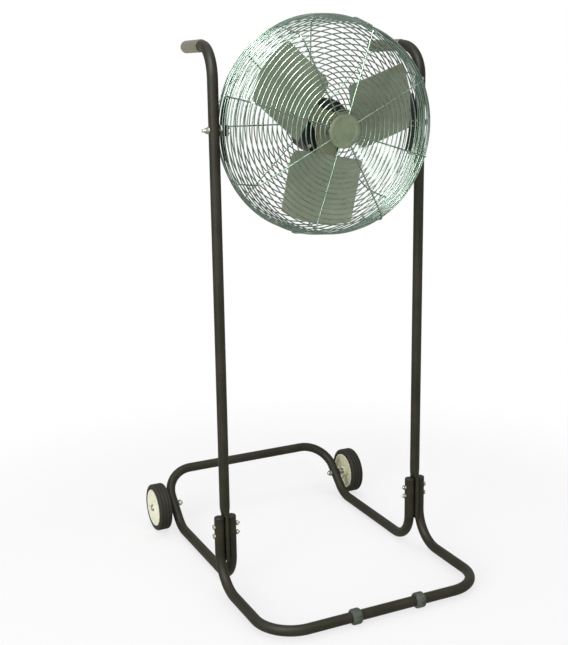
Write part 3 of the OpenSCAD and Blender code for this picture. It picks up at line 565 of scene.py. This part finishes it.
def turned(section, steps=64, closed=False):
    """Spins a section about +X. Its points are (place along X, radius)."""
    bm = bmesh.new()
    verts = [bm.verts.new((along * MM, 0, radius * MM)) for along, radius in section]
    pairs = list(zip(verts, verts[1:])) + ([(verts[-1], verts[0])] if closed else [])
    edges = [bm.edges.new(pair) for pair in pairs]
    bmesh.ops.spin(
        bm, geom=verts + edges, cent=(0, 0, 0), axis=(1, 0, 0), angle=math.tau, steps=steps,
        use_merge=True,
    )
    bmesh.ops.remove_doubles(bm, verts=bm.verts[:], dist=TOUCHING)
    bmesh.ops.recalc_face_normals(bm, faces=bm.faces[:])
    return bm


def arc(along, out, radius, start, end, steps=6):
    """Points of a section's rounded corner, from one direction to the other in degrees."""
    angles = [math.radians(start + (end - start) * k / steps) for k in range(steps + 1)]
    return [(along + radius * math.cos(a), out + radius * math.sin(a)) for a in angles]


def softened(bm, width, corner=25):
    """Bevels each edge that turns by more than corner degrees."""
    sharp = [e for e in bm.edges if e.is_manifold and e.calc_face_angle() > math.radians(corner)]
    bmesh.ops.bevel(
        bm, geom=sharp, offset=width * MM, offset_type="OFFSET", segments=2, profile=0.5,
        affect="EDGES", material=-1, clamp_overlap=True,
    )
    return bm


def grown(bm, ring, step):
    """Extrudes a ring of edges by a step and returns the new ring's edges."""
    new = bmesh.ops.extrude_edge_only(bm, edges=ring)["geom"]
    bmesh.ops.translate(bm, vec=Vector(step) * MM, verts=only(bmesh.types.BMVert, new))
    return [edge for edge in only(bmesh.types.BMEdge, new) if edge.is_boundary]


def placed(bm, place):
    """The shape, moved to its place."""
    bm.transform(place)
    return bm


def copied(bm, places):
    """The shape at each of the places, in one mesh."""
    first = everything(bm)
    shapes = [first] + [bmesh.ops.duplicate(bm, geom=first)["geom"] for _ in places[1:]]
    for shape, place in zip(shapes, places):
        bmesh.ops.transform(bm, matrix=place, verts=only(bmesh.types.BMVert, shape))
    return bm


def joined(whole, *others):
    """Several meshes made one."""
    for other in others:
        carrier = bpy.data.meshes.new("carrier")
        other.to_mesh(carrier)
        other.free()
        whole.from_mesh(carrier)
        bpy.data.meshes.remove(carrier)
    return whole


def finished(name, bm, slot, body, stands_for=(), sharp=35):
    """Makes the object. Faces shade smoothly except over edges sharper than the angle."""
    bm.normal_update()  # A shape that was just mirrored or turned still has its old normals.
    bmesh.ops.recalc_face_normals(bm, faces=bm.faces[:])
    for face in bm.faces:
        face.smooth = True
    for edge in bm.edges:
        edge.smooth = edge.is_manifold and edge.calc_face_angle() < math.radians(sharp)
    mesh = bpy.data.meshes.new(name)
    bm.to_mesh(mesh)
    bm.free()
    mesh.materials.append(finishes[slot])
    thing = bpy.data.objects.new(name, mesh)
    scene.collection.objects.link(thing)
    if stands_for:
        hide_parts(*stands_for)
    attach(thing, body)
    print(name, len(mesh.polygons), "faces")


# %% [markdown]
# ## Bolts, nuts and threads
# A hexagon head is a six-sided bar whose corners are cut back by the tool that faces it. Cutting
# them with tilted planes gives the same curved chamfer. A screw thread this small shows as fine
# rings, so a zigzag section that is spun is enough, and it stays closed and light.

# %% Hexagons and threads
CHAMFER_TILT = math.radians(60)
CHAMFER_START = 0.49
CHAMFER_CUTS = [math.radians(60 * side + lean) for side in range(6) for lean in (-12, 0, 12)]
SMALL_STEPS = 28


def hexagon(across, height, both_ends=False):
    """A hexagonal bar along +X from 0 to height, with its corners cut back at the outer end."""
    bm = bmesh.new()
    corner_r = across / math.sqrt(3) * MM
    bmesh.ops.create_cone(
        bm, cap_ends=True, segments=6, radius1=corner_r, radius2=corner_r, depth=height * MM
    )
    bmesh.ops.translate(bm, vec=(0, 0, height * MM / 2), verts=bm.verts[:])
    for up in (1, -1) if both_ends else (1,):
        end = Vector((0, 0, height * MM if up > 0 else 0))
        rise = Vector((0, 0, up * math.sin(CHAMFER_TILT)))
        for angle in CHAMFER_CUTS:
            out = Vector((math.sin(angle), math.cos(angle), 0))
            cut = bmesh.ops.bisect_plane(
                bm, geom=everything(bm), dist=TOUCHING,
                plane_co=out * across * CHAMFER_START * MM + end,
                plane_no=out * math.cos(CHAMFER_TILT) + rise,
                clear_outer=True,
            )["geom_cut"]
            edges = only(bmesh.types.BMEdge, cut)
            if edges:
                bmesh.ops.edgeloop_fill(bm, edges=edges)
    return placed(bm, turn(90, "Y"))


def threaded(radius, length, pitch=1.4, depth=0.5):
    """A round bar along +X with the ridges of a thread."""
    section = [(0, 0), (0, radius - depth)]
    for k in range(int(length / pitch)):
        section += [((k + 0.5) * pitch, radius), ((k + 1) * pitch, radius - depth)]
    return turned(section + [(length, radius - 2 * depth), (length, 0)], SMALL_STEPS)


def shank(radius, start, end):
    """A plain round bar along +X."""
    return turned([(start, 0), (start, radius), (end, radius), (end, 0)], SMALL_STEPS)


# %% The clamp bolts of the stand
FRONT_X, REAR_X, TUBE_R = 290.95, 259.85, 12.7
CLAMP_HEIGHTS = (170, 146)
CLAMP_R, CLAMP_HEX, CLAMP_HEAD, CLAMP_NUT = 3.2, 11, 4.2, 6
head_x = FRONT_X + TUBE_R + PLAY
nut_x = REAR_X - TUBE_R - PLAY - CLAMP_NUT
clamps = [STAND @ mirrored(side) @ at(0, 0, z) for side in SIDES.values() for z in CLAMP_HEIGHTS]
bolt = joined(
    shank(CLAMP_R, nut_x - 1, head_x + 1 - PLAY),
    placed(threaded(CLAMP_R, 5), at(nut_x - 4, 0, 0)),
    placed(hexagon(CLAMP_HEX, CLAMP_HEAD), at(head_x, 0, 0)),
)
finished("clamp_bolts", copied(bolt, clamps), "zinc_steel", "stand", ["joint_bolts"])
nut = placed(hexagon(CLAMP_HEX, CLAMP_NUT, both_ends=True), at(nut_x, 0, 0))
finished("clamp_nuts", copied(nut, clamps), "zinc_steel", "stand", ["joint_nuts"])

# %% The pivot's nuts and studs
STUD_R, STUD_START, STUD_NUT_X, STUD_THREAD = 4, 250.5, 290, 14.2
STUD_HEX, STUD_NUT = 13, 6.6
pivots = [HEAD @ mirrored(side) for side in SIDES.values()]
nut = placed(hexagon(STUD_HEX, STUD_NUT, both_ends=True), at(STUD_NUT_X, 0, 0))
finished("tilt_nuts", copied(nut, pivots), "zinc_steel", "fan_head", ["pivot_nuts"])
stud = joined(
    shank(STUD_R, STUD_START, STUD_NUT_X + 1),
    placed(threaded(STUD_R, STUD_THREAD), at(STUD_NUT_X, 0, 0)),
)
finished("tilt_studs", copied(stud, pivots), "dull_steel", "fan_head", ["pivot_studs"])

# %% The bolts behind the motor
MOUNTS, MOUNT_TURN, MOUNT_CIRCLE_R = 4, -22.5, 36
MOUNT_R, MOUNT_START, MOUNT_END = 3, 56.2, 64
MOUNT_HEX, MOUNT_HEAD, MOUNT_HEAD_Y = 10, 3.5, 63.15
mounts = [
    HEAD @ turn(MOUNT_TURN - 360 * k / MOUNTS, "Y") @ at(MOUNT_CIRCLE_R, 0, 0) @ turn(90, "Z")
    for k in range(MOUNTS)
]
bolt = joined(
    shank(MOUNT_R, MOUNT_START, MOUNT_END),
    placed(hexagon(MOUNT_HEX, MOUNT_HEAD), at(MOUNT_HEAD_Y, 0, 0)),
)
finished("mount_bolts", copied(bolt, mounts), "zinc_steel", "fan_head", ["motor_mount_bolts"])

# %% [markdown]
# ## Uprights
# Each upright is one tube. Its foot was pressed flat in a die so that it fits between the two base
# loops, its top was bent back into a handle, and the handles toe in a little. A ring of edges is
# spun through the bend and extruded along the handle, then extruded down, where the last rings go
# over from the circle to the pressed shape. The CAD has flat facets there; this is smooth.

# %% The bent and pressed tube
UPRIGHT_X, HANDLE_Z, BEND_R, REACH, TOE = 275.4, 1321, 75, 206, 5
FLAT_TOP_Z, FLAT_BLEND, FOOT_Z = 193, 42, 80
FLAT_HALF_T, FLAT_HALF_W, BEAD_R = 2.8, 18, 4.6
FLAT_RINGS, FLAT_EASE = 12, 4
BEND_Z = HANDLE_Z - BEND_R


def pressed(vert):
    """Moves a point of the round tube to its place where the tube turns flat. A fold that tight
    stays open along both edges, so the flat ends in a bead on each side."""
    share = min(max((FLAT_TOP_Z + FLAT_BLEND - vert.co.z / MM) / FLAT_BLEND, 0), 1) ** FLAT_EASE
    angle = math.atan2(vert.co.y, vert.co.x)
    wide = FLAT_HALF_W * math.sin(angle)
    past = abs(wide) - (FLAT_HALF_W - BEAD_R)
    bead = math.sqrt(max(0, BEAD_R**2 - past**2))
    thin = math.copysign(bead if past > 0 else max(bead, FLAT_HALF_T), math.cos(angle))
    round_x, round_y = TUBE_R * math.cos(angle), TUBE_R * math.sin(angle)
    vert.co.x = (round_x + (thin - round_x) * share) * MM
    vert.co.y = (round_y + (wide - round_y) * share) * MM


def upright(side):
    """One tube from the handle's end through the bend down to the pressed foot."""
    bm = bmesh.new()
    bmesh.ops.create_circle(bm, segments=40, radius=TUBE_R * MM, matrix=at(0, 0, BEND_Z))
    spun = bmesh.ops.spin(
        bm, geom=bm.edges[:], cent=Vector((0, BEND_R, BEND_Z)) * MM, axis=(-1, 0, 0),
        angle=math.pi / 2, steps=18,
    )
    bend_end = only(bmesh.types.BMEdge, spun["geom_last"])
    bmesh.ops.edgeloop_fill(bm, edges=grown(bm, bend_end, (0, REACH - BEND_R, 0)))
    toe_in = Matrix.Rotation(math.radians(side * TOE), 3, "Z")
    bmesh.ops.rotate(bm, cent=(0, 0, 0), matrix=toe_in, verts=bm.verts[:])
    ring, height = [edge for edge in bm.edges if edge.is_boundary], BEND_Z
    levels = [FLAT_TOP_Z + FLAT_BLEND * k / FLAT_RINGS for k in range(FLAT_RINGS, -1, -1)]
    for level in levels + [FOOT_Z]:
        ring = grown(bm, ring, (0, 0, level - height))
        height = level
    for vert in bm.verts:
        if vert.co.z < BEND_Z * MM / 2:
            pressed(vert)
    bmesh.ops.edgeloop_fill(bm, edges=ring)
    return placed(bm, STAND @ at(side * UPRIGHT_X, 0, 0))


for label, side in SIDES.items():
    finished(f"{label}_tube", upright(side), "tube_paint", "stand", [f"{label}_upright"])

# %% [markdown]
# ## Grips and bumpers
# The grips are dipped or pushed-on vinyl sleeves: thin at the mouth, closed and rounded at the end.
# The two rings on the front bar are moulded rubber with a soft crown. All are turned shapes.

# %% Grips
GRIP_R, GRIP_LEN, GRIP_END, GRIP_CORNER = 14.9, 127, 3, 4
grip_section = [(0, TUBE_R + PLAY), (0, 13.8), (0.8, 14.6), (3, GRIP_R), (60, GRIP_R - 0.1)]
grip_section += arc(GRIP_LEN + GRIP_END - GRIP_CORNER, GRIP_R - GRIP_CORNER, GRIP_CORNER, 90, 0)
grip_section += [(GRIP_LEN + GRIP_END, 0)]
for label, side in SIDES.items():
    handle = STAND @ at(side * UPRIGHT_X, 0, HANDLE_Z) @ turn(side * TOE, "Z")
    sleeve = placed(
        turned(grip_section, steps=48), handle @ at(0, REACH - GRIP_LEN, 0) @ turn(90, "Z")
    )
    finished(f"{label}_hand_grip", sleeve, "grip_vinyl", "stand", [f"{label}_grip"])

# %% Bumpers
BUMPER_R, BUMPER_W, BUMPER_CORNER = 19, 24, 5
ring_section = [(0, TUBE_R + PLAY)]
ring_section += arc(BUMPER_CORNER, BUMPER_R - BUMPER_CORNER, BUMPER_CORNER, 180, 90)
ring_section += arc(BUMPER_W - BUMPER_CORNER, BUMPER_R - BUMPER_CORNER, BUMPER_CORNER, 90, 0)
ring_section += [(BUMPER_W, TUBE_R + PLAY)]
for label in SIDES:
    low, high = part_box(f"{label}_bumper")
    ring = turned(ring_section, steps=48, closed=True)
    ring.transform(Matrix.Translation((low.x, (low.y + high.y) / 2, (low.z + high.z) / 2)))
    finished(f"{label}_bar_ring", ring, "bumper_rubber", "stand", [f"{label}_bumper"])

# %% [markdown]
# ## Wheels
# A black tyre with round shoulders and three grooves sits on a cream moulded hub. The hub's outer
# face is a shallow dish with a low ring round the axle, and its inner side is open, with ribs that
# carry the rim. Each wheel turns on a flanged bolt.

# %% Tyres
WHEEL_R, WHEEL_W, HUB_R = 65, 36, 51
TYRE_CORNER = 6
GROOVE_W, GROOVE_DEEP, GROOVES = 2.4, 2.2, 3
wheel_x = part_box("right_tyre")[0].x
wheel_places = {}
for label, side in SIDES.items():
    axle = Vector(joints[f"{label}_wheel_spin"]["pos_m"])
    wheel_places[label] = Matrix.Translation((side * wheel_x, axle.y, axle.z)) @ mirrored(side)


def tyre_section():
    """Half of the section, then the grooved tread, then the same half mirrored."""
    half = [(1.6, HUB_R + PLAY), (0.4, 52.2), (0, 54)]
    half += arc(TYRE_CORNER, WHEEL_R - TYRE_CORNER, TYRE_CORNER, 180, 90)
    tread = []
    for k in range(1, GROOVES + 1):
        middle = WHEEL_W * k / (GROOVES + 1)
        for along, deep in ((-0.5, 0), (-0.3, 1), (0.3, 1), (0.5, 0)):
            tread.append((middle + along * GROOVE_W, WHEEL_R - deep * GROOVE_DEEP))
    return half + tread + [(WHEEL_W - along, radius) for along, radius in reversed(half)]


for label, place in wheel_places.items():
    tyre = placed(turned(tyre_section(), steps=80, closed=True), place)
    finished(f"{label}_rubber", tyre, "tyre_rubber", f"{label}_wheel", [f"{label}_tyre"])

# %% Hubs
HUB_RIBS, RIB_T, RIB_DRAFT = 10, 2.4, 0.7
RIB_X, RIB_REACH, RIB_RISE = (10, 20), (15, 48), 4
hub_section = [
    (0.6, HUB_R), (35.2, HUB_R), (35.9, 50.3), (35.9, 49), (34.7, 47.2), (33.7, 44), (33, 30),
    (33.4, 18.4), (35.2, 16.4), (36, 15), (36, 4.8), (0, 4.8), (0, 14), (0.6, 14.7), (15, 15.4),
    (17, 18), (12, 44), (10, 46.4), (0.5, 47.2), (0, 47.8), (0, 50.4),
]


def hub_rib():
    """One rib on the inner side: it stands a little above the dish, from sleeve to rim."""
    bm = bmesh.new()
    bmesh.ops.create_cube(bm, size=1)
    for vert in bm.verts:
        deep, outer = vert.co.x > 0, vert.co.z > 0
        vert.co.x = (RIB_X[deep] - RIB_RISE * outer) * MM
        vert.co.y *= RIB_T * MM * (1 if deep else RIB_DRAFT)
        vert.co.z = RIB_REACH[outer] * MM
    return softened(bm, 0.4)


for label, place in wheel_places.items():
    hub = joined(
        turned(hub_section, steps=80, closed=True),
        copied(hub_rib(), [turn(360 * k / HUB_RIBS, "X") for k in range(HUB_RIBS)]),
    )
    hub.transform(place)
    finished(f"{label}_wheel_hub", hub, "hub_plastic", f"{label}_wheel", [f"{label}_hub"])

# %% Axle bolts and nuts
AXLE_R, AXLE_TAIL, AXLE_THREAD, AXLE_PITCH = 4.75, 51.75, 5.5, 1.5
AXLE_HEX, AXLE_HEAD, AXLE_NUT, AXLE_NUT_X = 14.3, 4.2, 8, -47.75
flange = [(0, 0), (0, 9.5), (0.9, 9.3), (1.5, 8), (1.5, 0)]
for label, place in wheel_places.items():
    bolt = joined(
        shank(AXLE_R, AXLE_NUT_X, WHEEL_W + 0.3),
        placed(threaded(AXLE_R, AXLE_THREAD, AXLE_PITCH), at(-AXLE_TAIL, 0, 0)),
        placed(turned(flange, steps=40), at(WHEEL_W + 0.25, 0, 0)),
        placed(hexagon(AXLE_HEX, AXLE_HEAD), at(WHEEL_W + 1, 0, 0)),
    )
    bolt.transform(place)
    finished(f"{label}_wheel_bolt", bolt, "dull_steel", "stand", [f"{label}_axle_bolt"])
nut = placed(hexagon(AXLE_HEX, AXLE_NUT, both_ends=True), at(AXLE_NUT_X, 0, 0))
nuts = copied(nut, list(wheel_places.values()))
finished("wheel_nuts", nuts, "dull_steel", "stand", ["axle_nuts"])

# %% [markdown]
# ## Rotor
# The blades are broad paddles pressed from sheet, hollow towards the air that they push, and
# riveted to a spider with three arms. A grid gives a sheet with even faces: its points are moved
# to the paddle's outline and to the hollow, and then it gets its thickness and its rounded edge.

# %% Blades
BLADES, BLADE_TURN, BLADE_Y, BLADE_PITCH = 3, 19.5, -54, math.radians(15)
BLADE_LOW, BLADE_HIGH, BLADE_T, CAMBER = -83, 84, 2, 8
TIP_R, TIP_CURVE_R, TIP_CURVE_Z = 226.5, 200, 0.5
ROOT_R, ROOT_SLANT, ROOT_CORNER = 63, 3, 18
CHORD = 166 / math.cos(BLADE_PITCH)
CAMBER_R = CHORD * CHORD / (8 * CAMBER) + CAMBER / 2
MIDDLE_BAND = 4


def arm_turn(k):
    """The turn about the rotor's axis that brings +X to the middle of the blade."""
    return -BLADE_TURN - 360 * k / BLADES


def blade_place(k):
    """Where blade k sits: turned to its arm, then pitched."""
    place = turn(arm_turn(k), "Y") @ at(0, BLADE_Y, 0)
    return HEAD @ place @ Matrix.Rotation(BLADE_PITCH, 4, "X")


def blade_ends(height):
    """Where the paddle starts and ends along its length, at this height across it."""
    share = (height - BLADE_LOW) / (BLADE_HIGH - BLADE_LOW)
    start = ROOT_R - ROOT_SLANT * share
    below = BLADE_LOW + ROOT_CORNER - height
    if below > 0:
        start = ROOT_R + ROOT_CORNER - math.sqrt(max(0, ROOT_CORNER**2 - below**2))
    tip = math.sqrt(TIP_R**2 - height**2)
    curve = TIP_R - TIP_CURVE_R + math.sqrt(TIP_CURVE_R**2 - (height - TIP_CURVE_Z) ** 2)
    return start, min(tip, curve)


def blade():
    """One paddle along +X, with its hollow side towards -Y."""
    bm = bmesh.new()
    bmesh.ops.create_grid(bm, x_segments=28, y_segments=36, size=0.5)
    for vert in bm.verts:
        along, across = vert.co.x + 0.5, vert.co.y + 0.5
        z = (BLADE_LOW + (BLADE_HIGH - BLADE_LOW) * across) / math.cos(BLADE_PITCH)
        y = CAMBER - CAMBER_R + math.sqrt(CAMBER_R**2 - z * z)
        height = y * math.sin(BLADE_PITCH) + z * math.cos(BLADE_PITCH)
        start, end = blade_ends(min(max(height, BLADE_LOW), BLADE_HIGH))
        vert.co = Vector((start + (end - start) * along, y, z)) * MM
    bmesh.ops.recalc_face_normals(bm, faces=bm.faces[:])
    bmesh.ops.solidify(bm, geom=bm.faces[:], thickness=BLADE_T * MM)
    middle = [vert.co.y for vert in bm.verts if abs(vert.co.z) < MIDDLE_BAND * MM]
    rise = CAMBER * MM - sum(middle) / len(middle)
    bmesh.ops.translate(bm, vec=(0, rise, 0), verts=bm.verts[:])
    return softened(bm, 0.7, corner=50)


for k in range(BLADES):
    paddle = placed(blade(), blade_place(k))
    finished(f"paddle_{k + 1}", paddle, "blade_alloy", "rotor", [f"blade_{k + 1}"])

# %% Rivets
SPIDER_T = 3
RIVET_RS = (82, 104, 126)
dome = [(0, 0), (0, 5), (0.5, 4.7), (0.9, 3.6), (1.2, 1.8), (1.2, 0)]
front_y = CAMBER - BLADE_T / 2
back_y = CAMBER + BLADE_T / 2 + SPIDER_T + 2 * PLAY
rivet = joined(
    placed(turned(dome, steps=20), at(0, front_y, 0) @ turn(-90, "Z")),
    placed(turned(dome, steps=20), at(0, back_y, 0) @ turn(90, "Z")),
)
rivets = copied(rivet, [blade_place(k) @ at(r, 0, 0) for k in range(BLADES) for r in RIVET_RS])
finished("rivet_heads", rivets, "blade_alloy", "rotor", ["blade_rivets"])

# %% Spider
ARM_LEN, ARM_LEAD, ARM_TRAIL, INNER_R, FILLET = 140, 26, 20, 27, 38
TWIST_START, TWIST_LEN = 20, 40
TWIST_CUTS = (20, 26, 32, 38, 45, 54, 64)
SPIDER_FRONT_Y = BLADE_Y + CAMBER + BLADE_T / 2 + PLAY


def spider():
    """A flat star with rounded inner corners, whose arms are then twisted to the blades' pitch."""
    bm = bmesh.new()
    outline = []
    for k in range(BLADES):
        arm = turn(arm_turn(k), "Y")
        inner = turn(arm_turn(k + 0.5), "Y")
        for place, x, z in (
            (arm, ARM_LEN, -ARM_TRAIL), (arm, ARM_LEN, ARM_LEAD), (inner, INNER_R, 0)
        ):
            outline.append(bm.verts.new(place @ (Vector((x, 0, z)) * MM)))
    bm.faces.new(outline)
    bmesh.ops.bevel(
        bm, geom=outline[2::3], offset=FILLET * MM, offset_type="OFFSET", segments=9, profile=0.5,
        affect="VERTICES", material=-1, clamp_overlap=True,
    )
    for k in range(BLADES):
        out = turn(arm_turn(k), "Y") @ Vector((1, 0, 0))
        for reach in TWIST_CUTS:
            bmesh.ops.bisect_plane(
                bm, geom=everything(bm), dist=TOUCHING, plane_co=out * reach * MM, plane_no=out
            )
    bmesh.ops.triangulate(bm, faces=bm.faces[:])
    for vert in bm.verts:
        arms = [turn(-arm_turn(k), "Y") @ vert.co for k in range(BLADES)]
        own = max(arms, key=lambda place: place.x)
        share = min(max((own.x / MM - TWIST_START) / TWIST_LEN, 0), 1)
        vert.co.y = -own.z * math.tan(BLADE_PITCH) * share * share * (3 - 2 * share)
    thick = bmesh.ops.extrude_face_region(bm, geom=bm.faces[:])["geom"]
    back = only(bmesh.types.BMVert, thick)
    bmesh.ops.translate(bm, vec=(0, SPIDER_T * MM, 0), verts=back)
    bmesh.ops.recalc_face_normals(bm, faces=bm.faces[:])
    bm.transform(HEAD @ at(0, SPIDER_FRONT_Y, 0))
    return softened(bm, 0.5, corner=60)


finished("three_arm_spider", spider(), "spider_steel", "rotor", ["blade_spider"])

# %% [markdown]
# ## Badge, motor and caps
# The badge is a thin pressed plate with a raised border. The motor's end bells are castings, so
# their corners are round, and the plugs in the loops' ends have a low dome.

# %% Badge
BADGE_Y = -113.9
badge_section = [
    (0, 0), (0, 39.2), (0.4, 39.5), (1.2, 39.5), (1.8, 39), (2, 38.2), (2, 37.4), (2.6, 36.7),
    (3, 35.9), (3.2, 35), (3.2, 31), (3, 30.1), (2.6, 29.4), (2, 28.8), (1.9, 0),
]
plate = placed(turned(badge_section, steps=96), HEAD @ at(0, BADGE_Y, 0) @ turn(-90, "Z"))
finished("badge_plate", plate, "badge_paint", "fan_head", ["guard_badge"])

# %% Motor bells
MOTOR_R, SHELL_FRONT, SHELL_REAR = 67, -16.9, 37.1
rim = [(0, MOTOR_R), (2.6, MOTOR_R), (3.6, 66.6), (4, 65.6)]
front_section = rim + [
    (4, 52), (4.6, 46), (5, 26), (5.6, 22.4), (7.4, 20.4), (13, 20), (14, 19), (14, 16.05),
    (0.4, 16.05), (0.4, 66),
]
rear_section = rim + [
    (4, 57), (4.6, 55.5), (6, 54.9), (20.5, 50.6), (22.4, 49.8), (22.95, 48.4), (22.95, 0),
]
bell = turned(front_section, steps=96, closed=True)
bell.transform(HEAD @ at(0, SHELL_FRONT, 0) @ turn(-90, "Z"))
finished("front_end_bell", bell, "black_steel", "fan_head", ["motor_front_bell"])
bell = turned(rear_section, steps=96)
bell.transform(HEAD @ at(0, SHELL_REAR, 0) @ turn(90, "Z"))
finished("rear_end_bell", bell, "black_steel", "fan_head", ["motor_rear_bell"])

# %% Caps of the base loops
CAP_Z = 190
cap_section = [(-8, 0), (-8, 10.4), (0, 10.6), (0, 12.3), (0.4, 12.6), (1, 12.7)]
cap_section += arc(1.8, 9.9, 2.8, 90, 8, steps=7) + [(4.9, 6), (5, 0)]
cap_places = [
    STAND @ at(side * x, 0, CAP_Z) @ turn(-90, "Y")
    for side in SIDES.values() for x in (FRONT_X, REAR_X)
]
caps = copied(turned(cap_section, steps=40), cap_places)
finished("loop_caps", caps, "black_plastic", "stand", ["base_tube_caps"])

# %% [markdown]
# ## Guard
# Both halves of the guard are rings of plated wire, welded to eight bent spokes. The CAD's wires
# are kept: they are already round and smooth. What they lack is the weld at each crossing, where
# the two wires sink into each other. There are hundreds, so each is a ball with few faces.

# %% Welds
RIM_R, SHOULDER_R, RING_PITCH, BAND_HALF, SPOKE_INSET = 257.5, 20, 12.1, 18, 3.15
SPOKES, WELD_R = 8, 1.9


def guard_point(s, depth, draft):
    """At s along a guard half's section: its radius, its depth and the direction out of it."""
    shoulder = SHOULDER_R * math.tan((math.pi / 2 - draft) / 2)
    wall = depth / math.cos(draft) - shoulder
    face_r = RIM_R - depth * math.tan(draft) - shoulder
    bend = SHOULDER_R * (math.pi / 2 - draft)
    if s < wall:
        return RIM_R - s * math.sin(draft), s * math.cos(draft), (math.cos(draft), math.sin(draft))
    if s < wall + bend:
        a = draft + (s - wall) / SHOULDER_R
        return (
            face_r + SHOULDER_R * math.cos(a), depth - SHOULDER_R + SHOULDER_R * math.sin(a),
            (math.cos(a), math.sin(a)),
        )
    return face_r - (s - wall - bend), depth, (0, 1)


def welds(name, side, depth, draft, rings, spoke_turn, inset):
    """A weld at each crossing. The inset is how far inside the rings the spokes lie."""
    spots = []
    for ring in rings:
        radius, deep, out = guard_point(ring * RING_PITCH, depth, math.radians(draft))
        radius, deep = radius + out[0] * inset / 2, deep + out[1] * inset / 2
        for k in range(SPOKES):
            spoke = HEAD @ turn(-spoke_turn - 360 * k / SPOKES, "Y")
            spots.append(spoke @ at(radius, side * (BAND_HALF + deep), 0))
    ball = bmesh.new()
    bmesh.ops.create_icosphere(ball, subdivisions=1, radius=WELD_R * MM)
    finished(name, copied(ball, spots), "guard_wire", "fan_head", sharp=80)


welds(
    "front_welds", -1, depth=91, draft=11.5, rings=range(25), spoke_turn=28, inset=SPOKE_INSET
)
welds(
    "rear_welds", 1, depth=50, draft=17, rings=range(1, 20), spoke_turn=0, inset=-SPOKE_INSET
)
